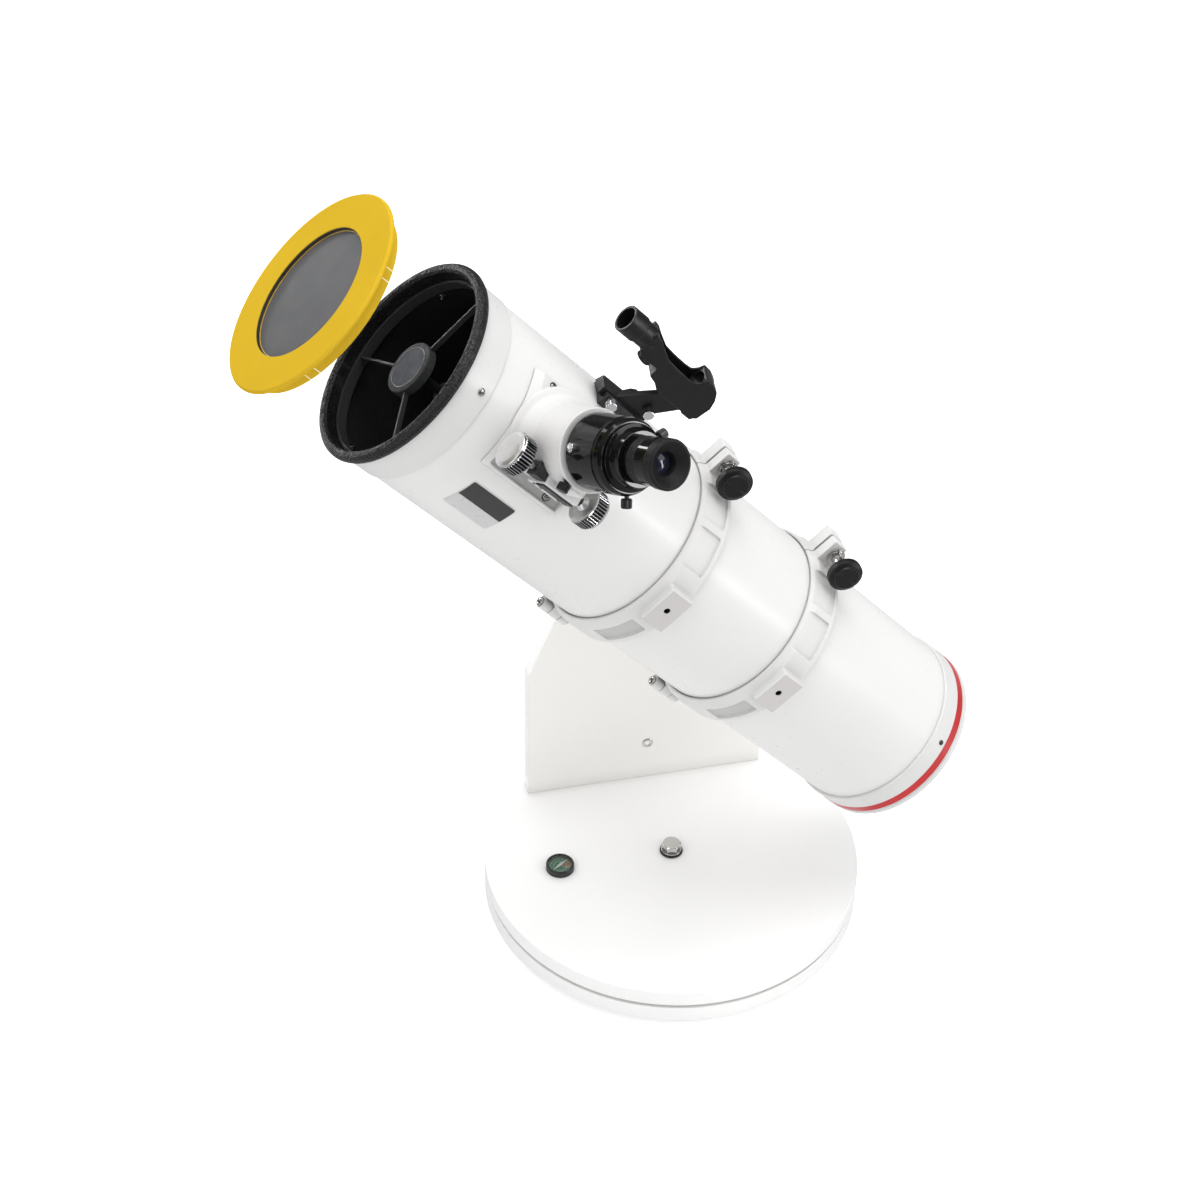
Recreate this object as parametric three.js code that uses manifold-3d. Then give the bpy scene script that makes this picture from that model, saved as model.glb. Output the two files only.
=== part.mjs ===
// Table-top dobsonian telescope: a 150 mm f/5 newtonian tube in two hinged rings,
// carried by a dovetail bar and a saddle on one side panel of a round turntable.
// Units are millimetres, +Z is up, the origin is the centre of the ground board's
// underside, with the feet below it. The observer stands on the -Y side; the side panel stands
// on the +Y side of the tube. The open front of the tube looks towards -X and up.
import * as THREE from 'three';
import { mergeVertices } from 'three/addons/utils/BufferGeometryUtils.js';
import Module from 'manifold-3d';

const wasm = await Module();
wasm.setup();

// ------------------------------------------------------------ driving sizes
const GAP = 0.3;                 // free gap between pieces that touch

const FOOT_H = 12;               // rubber foot height
const BOARD_R = 197.5;           // both round boards, 395 mm across
const BOARD_T = 19;              // board thickness
const BOARD_GAP = 4;             // glide pads between the boards
const GROUND_Z = 0;                                        // underside of the ground board
const TURN_Z = GROUND_Z + BOARD_T + BOARD_GAP;             // underside of the turning board
const TOP_Z = TURN_Z + BOARD_T;                            // top of the turning board: 42

const PANEL_Y = 116.5;           // front face of the side panel
const PANEL_T = 18;              // side panel thickness
const PANEL_HALF = 130.5;        // half width of the side panel
const PANEL_SHOULDER = 167;      // straight side height above the turning board
const PANEL_HEAD_R = 41;         // rounded head round the altitude axis

const AXIS_H = TOP_Z + 384.5;    // altitude axis height: 426.5
const TUBE_Y = -32;              // the tube axis stands in front of the base centre
const ALT_DEG = 46.2;            // tube elevation at rest

const TUBE_R = 91;               // tube outside radius
const TUBE_IN = 89.8;            // tube inside radius
const TUBE_FRONT = 384;          // tube front edge, along the axis from the altitude axis
const TUBE_REAR = -305;          // tube rear edge
const RIM_FRONT = 395.8;          // front of the black rim
const RIM_R = 97.3;              // rim outside radius
const END_S = -312;              // rear face of the rear cell

const RING_S = [89, -72];        // ring centres along the tube
const RING_HALF = 18;            // half width of a ring
const RING_IN = 91.6;            // ring bore
const RING_OUT = 98;             // ring outside
const PAD_R = 105;               // flat pads on the rings, front and back
const HINGE_R = 105;             // hinge pin distance from the tube axis
const CLAMP_R = 110;             // clamp bolt distance from the tube axis

const BAR_X = [-PAD_R - GAP, -PAD_R - GAP - 15]; // dovetail bar front and back
const SADDLE_X = -136.8;         // back of the saddle
const HUB_X = -145.1;            // back of the altitude hub flange
const PANEL_X = -(PANEL_Y - TUBE_Y);                        // -148.5

const FOC_S = 278;               // focuser axis along the tube
const FOC_PHI = 33.5;            // focuser direction, degrees from the observer side up
const FINDER_PHI = 80;           // finder shoe direction
const DRAW_R = 27;               // focuser drawtube radius
const PINION_W = -33.5;          // pinion shaft offset
const PINION_Z = 118;            // pinion shaft distance from the tube axis
const FILTER_S = 497;            // front face of the solar filter, held off the tube

// facets round the large turned pieces
const SEG = 40;

// ------------------------------------------------------------ geometry helpers
const D2R = Math.PI / 180;
const clean = (geo) => {
  const g = geo.clone();
  for (const k of Object.keys(g.attributes)) if (k !== 'position') g.deleteAttribute(k);
  const m = mergeVertices(g, 1e-4);
  const src = m.index.array;
  const tri = [];
  for (let i = 0; i < src.length; i += 3) {
    const [a, b, c] = [src[i], src[i + 1], src[i + 2]];
    if (a !== b && b !== c && a !== c) tri.push(a, b, c);
  }
  const p = m.attributes.position.array;
  let vol = 0;
  for (let i = 0; i < tri.length; i += 3) {
    const [a, b, c] = [tri[i] * 3, tri[i + 1] * 3, tri[i + 2] * 3];
    vol += p[a] * (p[b + 1] * p[c + 2] - p[b + 2] * p[c + 1])
      - p[a + 1] * (p[b] * p[c + 2] - p[b + 2] * p[c])
      + p[a + 2] * (p[b] * p[c + 1] - p[b + 1] * p[c]);
  }
  if (vol < 0) for (let i = 0; i < tri.length; i += 3) [tri[i + 1], tri[i + 2]] = [tri[i + 2], tri[i + 1]];
  return { p: new Float32Array(p), tri: new Uint32Array(tri) };
};
const solid = (geo) => {
  const { p, tri } = clean(geo);
  return new wasm.Manifold(new wasm.Mesh({ numProp: 3, vertProperties: p, triVerts: tri }));
};
const toGeo = (man) => {
  const m = man.getMesh();
  const g = new THREE.BufferGeometry();
  g.setAttribute('position', new THREE.BufferAttribute(new Float32Array(m.vertProperties), 3));
  g.setIndex(new THREE.BufferAttribute(new Uint32Array(m.triVerts), 1));
  return g;
};
const join = (...gs) => toGeo(gs.map(solid).reduce((a, b) => a.add(b)));
const cut = (g, ...tools) => toGeo(tools.map(solid).reduce((a, b) => a.subtract(b), solid(g)));
const common = (a, b) => toGeo(solid(a).intersect(solid(b)));

const box = (x0, x1, y0, y1, z0, z1) =>
  new THREE.BoxGeometry(x1 - x0, y1 - y0, z1 - z0).translate((x0 + x1) / 2, (y0 + y1) / 2, (z0 + z1) / 2);
// solid of revolution about Z; points are [radius, z]
const turn = (pts, seg, closed = false) => {
  const list = pts.map(([r, z]) => new THREE.Vector2(r, z));
  if (closed) list.push(list[0].clone());
  return new THREE.LatheGeometry(list, seg).rotateX(Math.PI / 2);
};
const rod = (r, z0, z1, seg = 16) => turn([[0, z0], [r, z0], [r, z1], [0, z1]], seg);
const pipe = (ri, ro, z0, z1, seg = 24) => turn([[ri, z0], [ro, z0], [ro, z1], [ri, z1]], seg, true);
// plate drawn in XY and pushed along Z
const plate = (pts, z0, z1, holes = []) => {
  const s = new THREE.Shape(pts.map(([x, y]) => new THREE.Vector2(x, y)));
  for (const h of holes) s.holes.push(new THREE.Path(h.map(([x, y]) => new THREE.Vector2(x, y))));
  return new THREE.ExtrudeGeometry(s, { depth: z1 - z0, bevelEnabled: false }).translate(0, 0, z0);
};
const circlePts = (r, n, cx = 0, cy = 0, a0 = 0) =>
  Array.from({ length: n }, (_, i) => [cx + r * Math.cos(a0 + (i * 2 * Math.PI) / n), cy + r * Math.sin(a0 + (i * 2 * Math.PI) / n)]);
const lobed = (r, depth, lobes, per) => Array.from({ length: lobes * per }, (_, i) => {
  const a = (i * 2 * Math.PI) / (lobes * per);
  const k = r - depth * (0.5 - 0.5 * Math.cos(a * lobes));
  return [k * Math.cos(a), k * Math.sin(a)];
});
// place geometry drawn on +Z so that its Z runs along axis and it starts at pos
const along = (geo, pos, axis, up = [0.123, 0.456, 0.789]) => {
  const z = new THREE.Vector3(...axis).normalize();
  const x = new THREE.Vector3(...up).cross(z).normalize();
  const y = new THREE.Vector3().crossVectors(z, x);
  const m = new THREE.Matrix4().makeBasis(x, y, z).setPosition(...pos);
  return geo.clone().applyMatrix4(m);
};
const hexPts = (acrossFlats) => circlePts(acrossFlats / Math.sqrt(3), 6);

const material = (color, roughness, metalness, opacity = 1) =>
  new THREE.MeshStandardMaterial({ color, roughness, metalness, opacity, transparent: opacity < 1 });
const MAT = {
  board: material('#f4f3f0', 0.55, 0),
  paint: material('#f2f1ee', 0.35, 0.1),
  cast: material('#ecebe8', 0.4, 0.1),
  rubber: material('#2a2a2a', 0.85, 0),
  nylon: material('#1c1c1c', 0.5, 0),
  ptfe: material('#e9e6dc', 0.45, 0),
  steel: material('#b9bbbd', 0.25, 1),
  chrome: material('#d5d7d9', 0.12, 1),
  anodised: material('#131314', 0.18, 0.6),
  plastic: material('#1b1b1c', 0.6, 0),
  finder: material('#3a393a', 0.6, 0),
  black: material('#101010', 0.7, 0),
  glass: material('#cfe0e0', 0.05, 0, 0.35),
  mirror: material('#e6ebee', 0.02, 1),
  yellow: material('#eab928', 0.35, 0),
  film: material('#6b6c70', 0.2, 0.6),
  needle: material('#f3f3f0', 0.5, 0),
};

const root = new THREE.Group();
const add = (parent, name, geometry, mat) => {
  const g = new THREE.BufferGeometry();
  const { p, tri } = clean(geometry);
  g.setAttribute('position', new THREE.BufferAttribute(p, 3));
  g.setIndex(new THREE.BufferAttribute(tri, 1));
  g.computeVertexNormals();
  const mesh = new THREE.Mesh(g, mat);
  mesh.name = name;
  parent.add(mesh);
  return mesh;
};

// ------------------------------------------------------------ ground board
const BOLT_R = 5;
add(root, 'ground_board', turn([[0, GROUND_Z], [BOARD_R - 1, GROUND_Z], [BOARD_R, GROUND_Z + 1], [BOARD_R, GROUND_Z + BOARD_T - 1],
  [BOARD_R - 1, GROUND_Z + BOARD_T], [11.4, GROUND_Z + BOARD_T], [11.4, GROUND_Z + BOARD_T - 2], [8, GROUND_Z + BOARD_T - 2], [8, GROUND_Z + 4], [0, GROUND_Z + 4]], SEG), MAT.board);
[90, 210, 330].forEach((deg, i) => {
  const x = 160 * Math.cos(deg * D2R);
  const y = 160 * Math.sin(deg * D2R);
  add(root, `foot_${i + 1}`, turn([[0, 3], [5, 3], [5, 0], [14, 0], [16, FOOT_H - GAP], [0, FOOT_H - GAP]], 18).translate(x, y, GROUND_Z - FOOT_H), MAT.rubber);
  const gx = 150 * Math.cos((deg + 60) * D2R);
  const gy = 150 * Math.sin((deg + 60) * D2R);
  add(root, `glide_pad_${i + 1}`, rod(13, GROUND_Z + BOARD_T + 0.15, TURN_Z - 0.15, 16).translate(gx, gy, 0), MAT.ptfe);
});

// centre pivot: hexagon bolt from above, flanged bush in the turning board, flanged
// threaded insert let into the ground board
add(root, 'azimuth_bolt', join(
  rod(BOLT_R, GROUND_Z + 6, TOP_Z + 4, 16),
  rod(11, TOP_Z + 2.6, TOP_Z + 4.4, 24),
  plate(hexPts(17.5), TOP_Z + 4.2, TOP_Z + 12)), MAT.steel);
add(root, 'azimuth_insert', turn([[BOLT_R + 0.35, GROUND_Z + 5], [7.7, GROUND_Z + 5], [7.7, GROUND_Z + BOARD_T - 1.7], [11, GROUND_Z + BOARD_T - 1.7],
  [11, GROUND_Z + BOARD_T - 0.3], [BOLT_R + 0.35, GROUND_Z + BOARD_T - 0.3]], 18, true), MAT.steel);

// ------------------------------------------------------------ turntable
const COMPASS = [-120.5, 0];
add(root, 'turntable_board', cut(
  turn([[8.4, TURN_Z], [BOARD_R - 1, TURN_Z], [BOARD_R, TURN_Z + 1], [BOARD_R, TOP_Z - 1], [BOARD_R - 1, TOP_Z], [8.4, TOP_Z]], SEG, true),
  rod(14.9, TOP_Z - 4, TOP_Z + 1, 20).translate(COMPASS[0], COMPASS[1], 0)), MAT.board);
add(root, 'azimuth_bushing', turn([[5.5, TURN_Z + 0.3], [8, TURN_Z + 0.3], [8, TOP_Z + 0.2], [12.2, TOP_Z + 0.2], [12.2, TOP_Z + 2.2], [5.5, TOP_Z + 2.2]], 18, true), MAT.nylon);

// side panel: straight below, tapering to a rounded head about the altitude axis
{
  const hz = AXIS_H;
  const z0 = TOP_Z + GAP;
  const zs = TOP_Z + PANEL_SHOULDER;
  // tangent from the shoulder to the head circle
  const dx = PANEL_HALF;
  const dz = zs - hz;
  const dist = Math.hypot(dx, dz);
  const base = Math.atan2(dz, dx);
  const a = base + Math.acos(PANEL_HEAD_R / dist);
  const pts = [[-PANEL_HALF, z0], [PANEL_HALF, z0], [PANEL_HALF, zs]];
  const n = 14;
  for (let i = 0; i <= n; i++) {
    const t = a + ((Math.PI - 2 * a) * i) / n;
    pts.push([PANEL_HEAD_R * Math.cos(t), hz + PANEL_HEAD_R * Math.sin(t)]);
  }
  pts.push([-PANEL_HALF, zs]);
  const g = plate(pts, 0, PANEL_T, [circlePts(8.6, 20, 0, hz)]);
  // drawn in XY, stood up into XZ with its thickness along +Y
  g.applyMatrix4(new THREE.Matrix4().makeBasis(new THREE.Vector3(1, 0, 0), new THREE.Vector3(0, 0, 1), new THREE.Vector3(0, -1, 0)));
  g.translate(0, PANEL_Y + PANEL_T, 0);
  add(root, 'side_panel', g, MAT.board);
}
// upright brace behind the panel, drawn in YZ
{
  const y0 = PANEL_Y + PANEL_T + GAP;
  const z0 = TOP_Z + GAP;
  const g = plate([[y0, z0], [y0 + 54, z0], [y0 + 54, z0 + 40], [y0 + 22, z0 + 300], [y0, z0 + 300]], -9, 9);
  g.applyMatrix4(new THREE.Matrix4().makeBasis(new THREE.Vector3(0, 1, 0), new THREE.Vector3(0, 0, 1), new THREE.Vector3(1, 0, 0)));
  add(root, 'panel_brace', g, MAT.board);
}
// compass let into the board
add(root, 'compass_case', turn([[0, TOP_Z - 3.7], [14.2, TOP_Z - 3.7], [14.2, TOP_Z + 0.4], [14.8, TOP_Z + 0.8], [14.8, TOP_Z + 6],
  [14, TOP_Z + 7], [12.6, TOP_Z + 7], [12.6, TOP_Z + 1.6], [1, TOP_Z + 1.6], [0.6, TOP_Z + 3.4], [0, TOP_Z + 3.4]], 20).translate(COMPASS[0], COMPASS[1], 0), MAT.nylon);
add(root, 'compass_needle', plate([[-10.5, 0], [-1.6, -1.7], [1.6, -1.7], [10.5, 0], [1.6, 1.7], [-1.6, 1.7]], TOP_Z + 3.8, TOP_Z + 4.5)
  .rotateZ(0.62).translate(COMPASS[0], COMPASS[1], 0), MAT.needle);
add(root, 'compass_glass', rod(12.3, TOP_Z + 5.2, TOP_Z + 6.4, 20).translate(COMPASS[0], COMPASS[1], 0), MAT.glass);

// ------------------------------------------------------------ tube frame
// X looks at the observer, Y is the upper side of the tube, Z runs to its open front
const tube = new THREE.Group();
{
  const a = ALT_DEG * D2R;
  const n = new THREE.Vector3(0, -1, 0);
  const u = new THREE.Vector3(Math.sin(a), 0, Math.cos(a));
  const t = new THREE.Vector3(-Math.cos(a), 0, Math.sin(a));
  tube.matrix.makeBasis(n, u, t).setPosition(0, TUBE_Y, AXIS_H);
  tube.matrix.decompose(tube.position, tube.quaternion, tube.scale);
}
root.add(tube);

// altitude pivot: friction disc, hub with shaft, saddle, tension knob behind the panel
add(tube, 'altitude_friction_pad', along(pipe(15, 34, 0, 2.7, 24), [PANEL_X + GAP, 0, 0], [1, 0, 0]), MAT.ptfe);
add(tube, 'altitude_hub', join(
  along(rod(36, 0, 8, 28), [HUB_X, 0, 0], [1, 0, 0]),
  along(rod(8, 0, 22, 20), [HUB_X + 1, 0, 0], [-1, 0, 0]),
  along(rod(5, 0, 41, 16), [HUB_X + 1, 0, 0], [-1, 0, 0])), MAT.anodised);
add(tube, 'altitude_tension_knob', cut(
  join(along(plate(lobed(22, 3, 7, 4), 0, 13), [PANEL_X - PANEL_T - 8, 0, 0], [-1, 0, 0]),
    along(rod(14, 0, 8, 16), [PANEL_X - PANEL_T - GAP, 0, 0], [-1, 0, 0])),
  along(rod(5.4, -1, 20.5, 16), [PANEL_X - PANEL_T, 0, 0], [-1, 0, 0])), MAT.plastic);

// saddle: floor plate with two jaws over the bar, drawn in XY and cut along Z
add(tube, 'dovetail_saddle', cut(
  plate([[SADDLE_X, -32], [SADDLE_X, 32], [-110.3, 32], [-110.3, 21.2], [-120.8, 24.2], [-120.8, -24.2], [-110.3, -21.2], [-110.3, -32]], -40, 40),
  along(rod(4.4, 0, 24, 14), [-115.5, -12, 0], [0, -1, 0])), MAT.anodised);
add(tube, 'saddle_clamp_knob', join(
  along(rod(4, 0, 17, 14), [-115.5, -22.8, 0], [0, -1, 0]),
  along(rod(8, 0, 4, 16), [-115.5, -34, 0], [0, -1, 0]),
  along(plate(lobed(14, 2.4, 6, 4), 0, 14), [-115.5, -37.5, 0], [0, -1, 0])), MAT.plastic);

// dovetail bar under both rings
{
  const [x0, x1] = BAR_X;
  let g = plate([[x0, -18.5], [x0, 18.5], [x1, 22], [x1, -22]], -98, 115);
  for (const s of RING_S) {
    const c = s - 4;
    g = cut(g, along(rod(3.6, -1, 17, 12), [x0 + 1, 0, c], [-1, 0, 0]), along(rod(6.2, 0, 7, 14), [x1 + 6, 0, c], [-1, 0, 0]));
  }
  add(tube, 'dovetail_bar', g, MAT.anodised);
}

// ------------------------------------------------------------ tube rings
const ringProfile = [[RING_IN, -RING_HALF], [RING_OUT, -RING_HALF], [RING_OUT, 9], [94, RING_HALF], [RING_IN, RING_HALF]];
const arcBlock = (r0, r1, a0, a1, z0, z1, n = 3) => {
  const pts = [];
  for (let i = 0; i <= n; i++) { const a = (a0 + ((a1 - a0) * i) / n) * D2R; pts.push([r1 * Math.cos(a), r1 * Math.sin(a)]); }
  for (let i = n; i >= 0; i--) { const a = (a0 + ((a1 - a0) * i) / n) * D2R; pts.push([r0 * Math.cos(a), r0 * Math.sin(a)]); }
  return plate(pts, z0, z1);
};
RING_S.forEach((s, k) => {
  const id = k + 1;
  const bs = [0, -2.5][k];        // clamp bolt offset along the tube
  const kx = [31, 35][k];         // where each knob stands on its bolt
  const full = turn(ringProfile, SEG, true);
  const bore = rod(RING_IN, -30, 30, SEG);
  const knuckle = (z0, z1) => rod(6, z0, z1, 12).translate(0, -HINGE_R, 0);
  const pinHole = rod(2.9, -40, 40, 12).translate(0, -HINGE_R, 0);
  // rear half: fixed to the bar
  const back = cut(
    join(
      common(full, box(-120, -0.4, -120, 120, -30, 30)),
      box(-PAD_R, -88, -19, 19, -RING_HALF, 10),
      box(-16, -0.4, 86, 122, -11, 11),
      box(-6, -0.4, -HINGE_R, -92, -17.8, -6.8), box(-6, -0.4, -HINGE_R, -92, 6.8, 17.8),
      knuckle(-17.8, -6.8), knuckle(6.8, 17.8)),
    bore, pinHole,
    along(rod(4.9, 0, 30, 14), [5, CLAMP_R, bs], [-1, 0, 0]),
    along(rod(3.2, 0, 11, 12), [-PAD_R - 1, 0, -4], [1, 0, 0]),
    box(-0.2, 20, -HINGE_R - 1, -80, -6.6, 6.6));
  // front half: opens about the pin
  const pocket = (a0, a1) => arcBlock(95.6, 104, a0, a1, -13, 6);
  const front = cut(
    join(
      common(full, box(0.4, 120, -120, 120, -30, 30)),
      box(88, PAD_R, -19.5, 19.5, -RING_HALF, 9),
      box(0.4, 12, 86, 122, -11, 11),
      box(0.4, 6, -HINGE_R, -92, -6.4, 6.4),
      knuckle(-6.4, 6.4)),
    bore, pinHole,
    along(rod(4.2, 0, 30, 14), [-5, CLAMP_R, bs], [1, 0, 0]),
    along(rod(3, 0, 14, 12), [PAD_R + 1, 0, -4], [-1, 0, 0]),
    pocket(27, 47), pocket(56, 74), pocket(-46, -18));
  const place = (g) => g.translate(0, 0, s);
  add(tube, `ring_${id}_rear`, place(back), MAT.cast);
  add(tube, `ring_${id}_front`, place(front), MAT.cast);
  add(tube, `ring_${id}_pin`, place(join(
    rod(2.5, -19, 19, 12).translate(0, -HINGE_R, 0),
    turn([[0, 18.2], [4.4, 18.2], [4.4, 19.6], [3.2, 21], [0, 21]], 14).translate(0, -HINGE_R, 0))), MAT.steel);
  add(tube, `ring_${id}_knob`, place(join(
    along(rod(3, 0, kx + 14, 12), [-14, CLAMP_R, bs], [1, 0, 0]),
    along(rod(8, 0, 2.4, 14), [12.4, CLAMP_R, bs], [1, 0, 0]),
    along(rod(5.4, 0, kx - 14.2, 12), [14.6, CLAMP_R, bs], [1, 0, 0]),
    along(turn([[0, 0], [14.5, 0], [16.6, 2], [16.6, 8], [12, 9.8], [11, 12], [0, 12]], 18), [kx, CLAMP_R, bs], [1, 0, 0]))), MAT.plastic);
});

// ------------------------------------------------------------ optical tube
const dirOf = (phi) => [Math.cos(phi * D2R), Math.sin(phi * D2R), 0];
const focDir = dirOf(FOC_PHI);
// frame for things built on the focuser axis: X up around the tube, Y to the tube front, Z outwards
const focMatrix = new THREE.Matrix4().makeBasis(
  new THREE.Vector3(-focDir[1], focDir[0], 0), new THREE.Vector3(0, 0, 1), new THREE.Vector3(...focDir)).setPosition(0, 0, FOC_S);
const foc = (g) => g.clone().applyMatrix4(focMatrix);

add(tube, 'optical_tube', cut(pipe(TUBE_IN, TUBE_R, TUBE_REAR, TUBE_FRONT, SEG), foc(rod(31.5, 70, 110, 20))), MAT.paint);
add(tube, 'front_collar', pipe(91.3, 92.5, 355, TUBE_FRONT, SEG), MAT.paint);
add(tube, 'front_rim', turn([[87.8, 370], [87.8, 392.4], [89.5, 394.8], [92.2, RIM_FRONT], [95, 394.8], [97, 392.2], [RIM_R, 389], [96.2, 386], [93.2, 384.3], [89.4, 384.3], [89.4, 370]], SEG, true), MAT.plastic);
// three-vane spider and hub in one moulding
add(tube, 'spider', (() => {
  const ring = pipe(84.6, 87.4, 372.6, 382.4, SEG);
  const hub = rod(21.8, 374, 383, 24);
  const vanes = [91, 211, 331].map((deg) => box(20, 85.5, -1.2, 1.2, 373.5, 381.5).rotateZ(deg * D2R));
  return join(ring, hub, ...vanes);
})(), MAT.black);
// secondary mirror on its stalk: the face looks back down the tube and out to the focuser
{
  const m = [-focDir[0], -focDir[1], 1];
  const slab = (off, len) => along(box(-60, 60, -60, 60, 0, len), [m[0] * off / Math.SQRT2, m[1] * off / Math.SQRT2, FOC_S + m[2] * off / Math.SQRT2], m);
  const holderBlank = join(rod(20.5, FOC_S - 10, FOC_S + 52, 24), rod(9, FOC_S + 50, FOC_S + 66, 18), rod(4, FOC_S + 60, 373.7, 14));
  add(tube, 'secondary_holder', common(holderBlank, slab(5.8, 200)), MAT.black);
  const glassBlank = rod(23, FOC_S - 60, FOC_S + 60, 32);
  add(tube, 'secondary_mirror', common(glassBlank, slab(-0.5, 6)), MAT.mirror);
}
// rear collar with its stripe groove, rear cell, primary mirror
add(tube, 'rear_collar', turn([[91.3, -305], [93.8, -305], [93.8, -275], [91.3, -275]], SEG, true), MAT.paint);
{
  const knobHole = [90, 210, 330].map((d) => rod(2.9, -330, -301, 8).translate(58 * Math.cos(d * D2R), 58 * Math.sin(d * D2R), 0));
  const posts = [30, 150, 270].map((d) => rod(5, -306, -286, 8).translate(71 * Math.cos(d * D2R), 62 * Math.sin(d * D2R), 0));
  add(tube, 'rear_cell', cut(join(
    turn([[0, -309], [84, -309], [86, END_S], [92.5, END_S], [94, -310.5], [94, -305.4], [89.3, -305.4], [89.3, -294], [86.5, -294], [86.5, -305], [0, -305]], SEG),
    pipe(66, 80, -288, -280, 24), ...posts), ...knobHole), MAT.cast);
  [90, 210, 330].forEach((d, i) => {
    add(tube, `collimation_knob_${i + 1}`, join(
      rod(2.5, -315, -303, 8), plate(lobed(9.5, 1.4, 6, 4), -321, -312.5)).translate(58 * Math.cos(d * D2R), 58 * Math.sin(d * D2R), 0), MAT.chrome);
  });
}
add(tube, 'primary_mirror', turn([[0, -279.6], [76, -279.6], [76, -261.2], [75, -260.2], [38, -261.4], [0, -261.8]], SEG), MAT.mirror);

// ------------------------------------------------------------ focuser
{
  const flare = turn([[0, 80], [47, 80], [47, 95], [40.5, 98], [36.6, 103], [35, 110], [34.6, 146], [35.2, 147.5], [35.2, 150], [0, 150]], 30);
  const slab = common(rod(97, -43, 43, SEG).translate(0, 0, 3),
    box(60, 120, -47.5, 44.5, -43, 46));
  // the slab is drawn round the tube axis, then turned to the focuser direction
  const slabTurned = slab.rotateZ(FOC_PHI * D2R).translate(0, 0, FOC_S);
  const housing = foc(box(-44, -20, -22, 22, 92, 127));
  const body = cut(join(slabTurned, foc(flare), housing),
    rod(91.4, 150, 400, SEG),
    foc(rod(DRAW_R + 0.8, 70, 160, 26)),
    foc(box(-30, -20, -5.2, 5.2, 70, 152)),
    foc(along(rod(5.2, -40, 40, 14), [PINION_W, 0, PINION_Z], [0, 1, 0])),
    foc(along(rod(2.6, 0, 20, 8), [-20, 6.7, 145], [-1, 0, 0])));
  add(tube, 'focuser_base', body, MAT.cast);
}
add(tube, 'drawtube', foc(join(pipe(25.4, DRAW_R, 89, 160, 26), box(-28.7, -26.4, -4, 4, 92, 148))), MAT.chrome);
add(tube, 'focus_pinion', foc(join(
  along(rod(3, -50, 50, 12), [PINION_W, 0, PINION_Z], [0, 1, 0]),
  along(rod(4.4, -7, 7, 12), [PINION_W, 0, PINION_Z], [0, 1, 0]))), MAT.steel);
for (const [name, side] of [['focus_knob_front', 1], ['focus_knob_rear', -1]]) {
  const body = cut(join(plate(lobed(17.6, 0.8, 24, 2), 0, 13), turn([[0, 12.5], [16.4, 12.5], [16.2, 15.6], [12, 17.2], [0, 17.6]], 24)),
    rod(3.35, -3, 14.5, 12));
  add(tube, name, foc(along(body, [PINION_W, side * 37, PINION_Z], [0, side, 0])), MAT.chrome);
}
add(tube, 'focus_lock_knob', foc(along(join(rod(2.2, -6.6, 3, 8), plate(lobed(5.2, 0.6, 6, 3), 1.2, 8)), [-35, 6.7, 145], [-1, 0, 0])), MAT.plastic);
// two inch holder, step-down adapter, eyepiece
add(tube, 'eyepiece_holder', foc(cut(turn([[27.4, 153], [32, 153], [32, 187.4], [31, 188], [31, 190], [32, 190.6], [31.4, 196], [29.6, 199.6], [25.8, 199.6],
  [25.8, 160.6], [27.4, 160.6]], 28, true),
  along(rod(2.3, 0, 20, 10), [20 * Math.cos(-2.55), 20 * Math.sin(-2.55), 194], [Math.cos(-2.55), Math.sin(-2.55), 0]),
  along(rod(2.3, 0, 20, 10), [20 * Math.cos(-0.53), 20 * Math.sin(-0.53), 194], [Math.cos(-0.53), Math.sin(-0.53), 0]))), MAT.anodised);
[[-2.55, 1], [-0.53, 2]].forEach(([ang, i]) => {
  const c = [Math.cos(ang), Math.sin(ang), 0];
  add(tube, `holder_thumbscrew_${i}`, foc(along(join(rod(1.9, 0, 10, 10), plate(lobed(4.6, 0.6, 8, 4), 7.5, 15.5)), [c[0] * 26, c[1] * 26, 194], c)), MAT.plastic);
});
add(tube, 'eyepiece_adapter', foc(turn([[16.3, 168], [25.3, 168], [25.3, 199.9], [28, 199.9], [28, 202], [24.8, 203], [23.4, 208], [23.4, 212.4], [16.3, 212.4]], 28, true)), MAT.anodised);
add(tube, 'eyepiece', foc(turn([[13.4, 186], [15.8, 186], [15.8, 212.8], [19.4, 212.8], [19.4, 239.6], [20.6, 240.4], [20.8, 249], [18.4, 250], [9.4, 243.5],
  [8.6, 236], [0, 236], [0, 226], [13.4, 226]], 24, true)), MAT.plastic);

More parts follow.
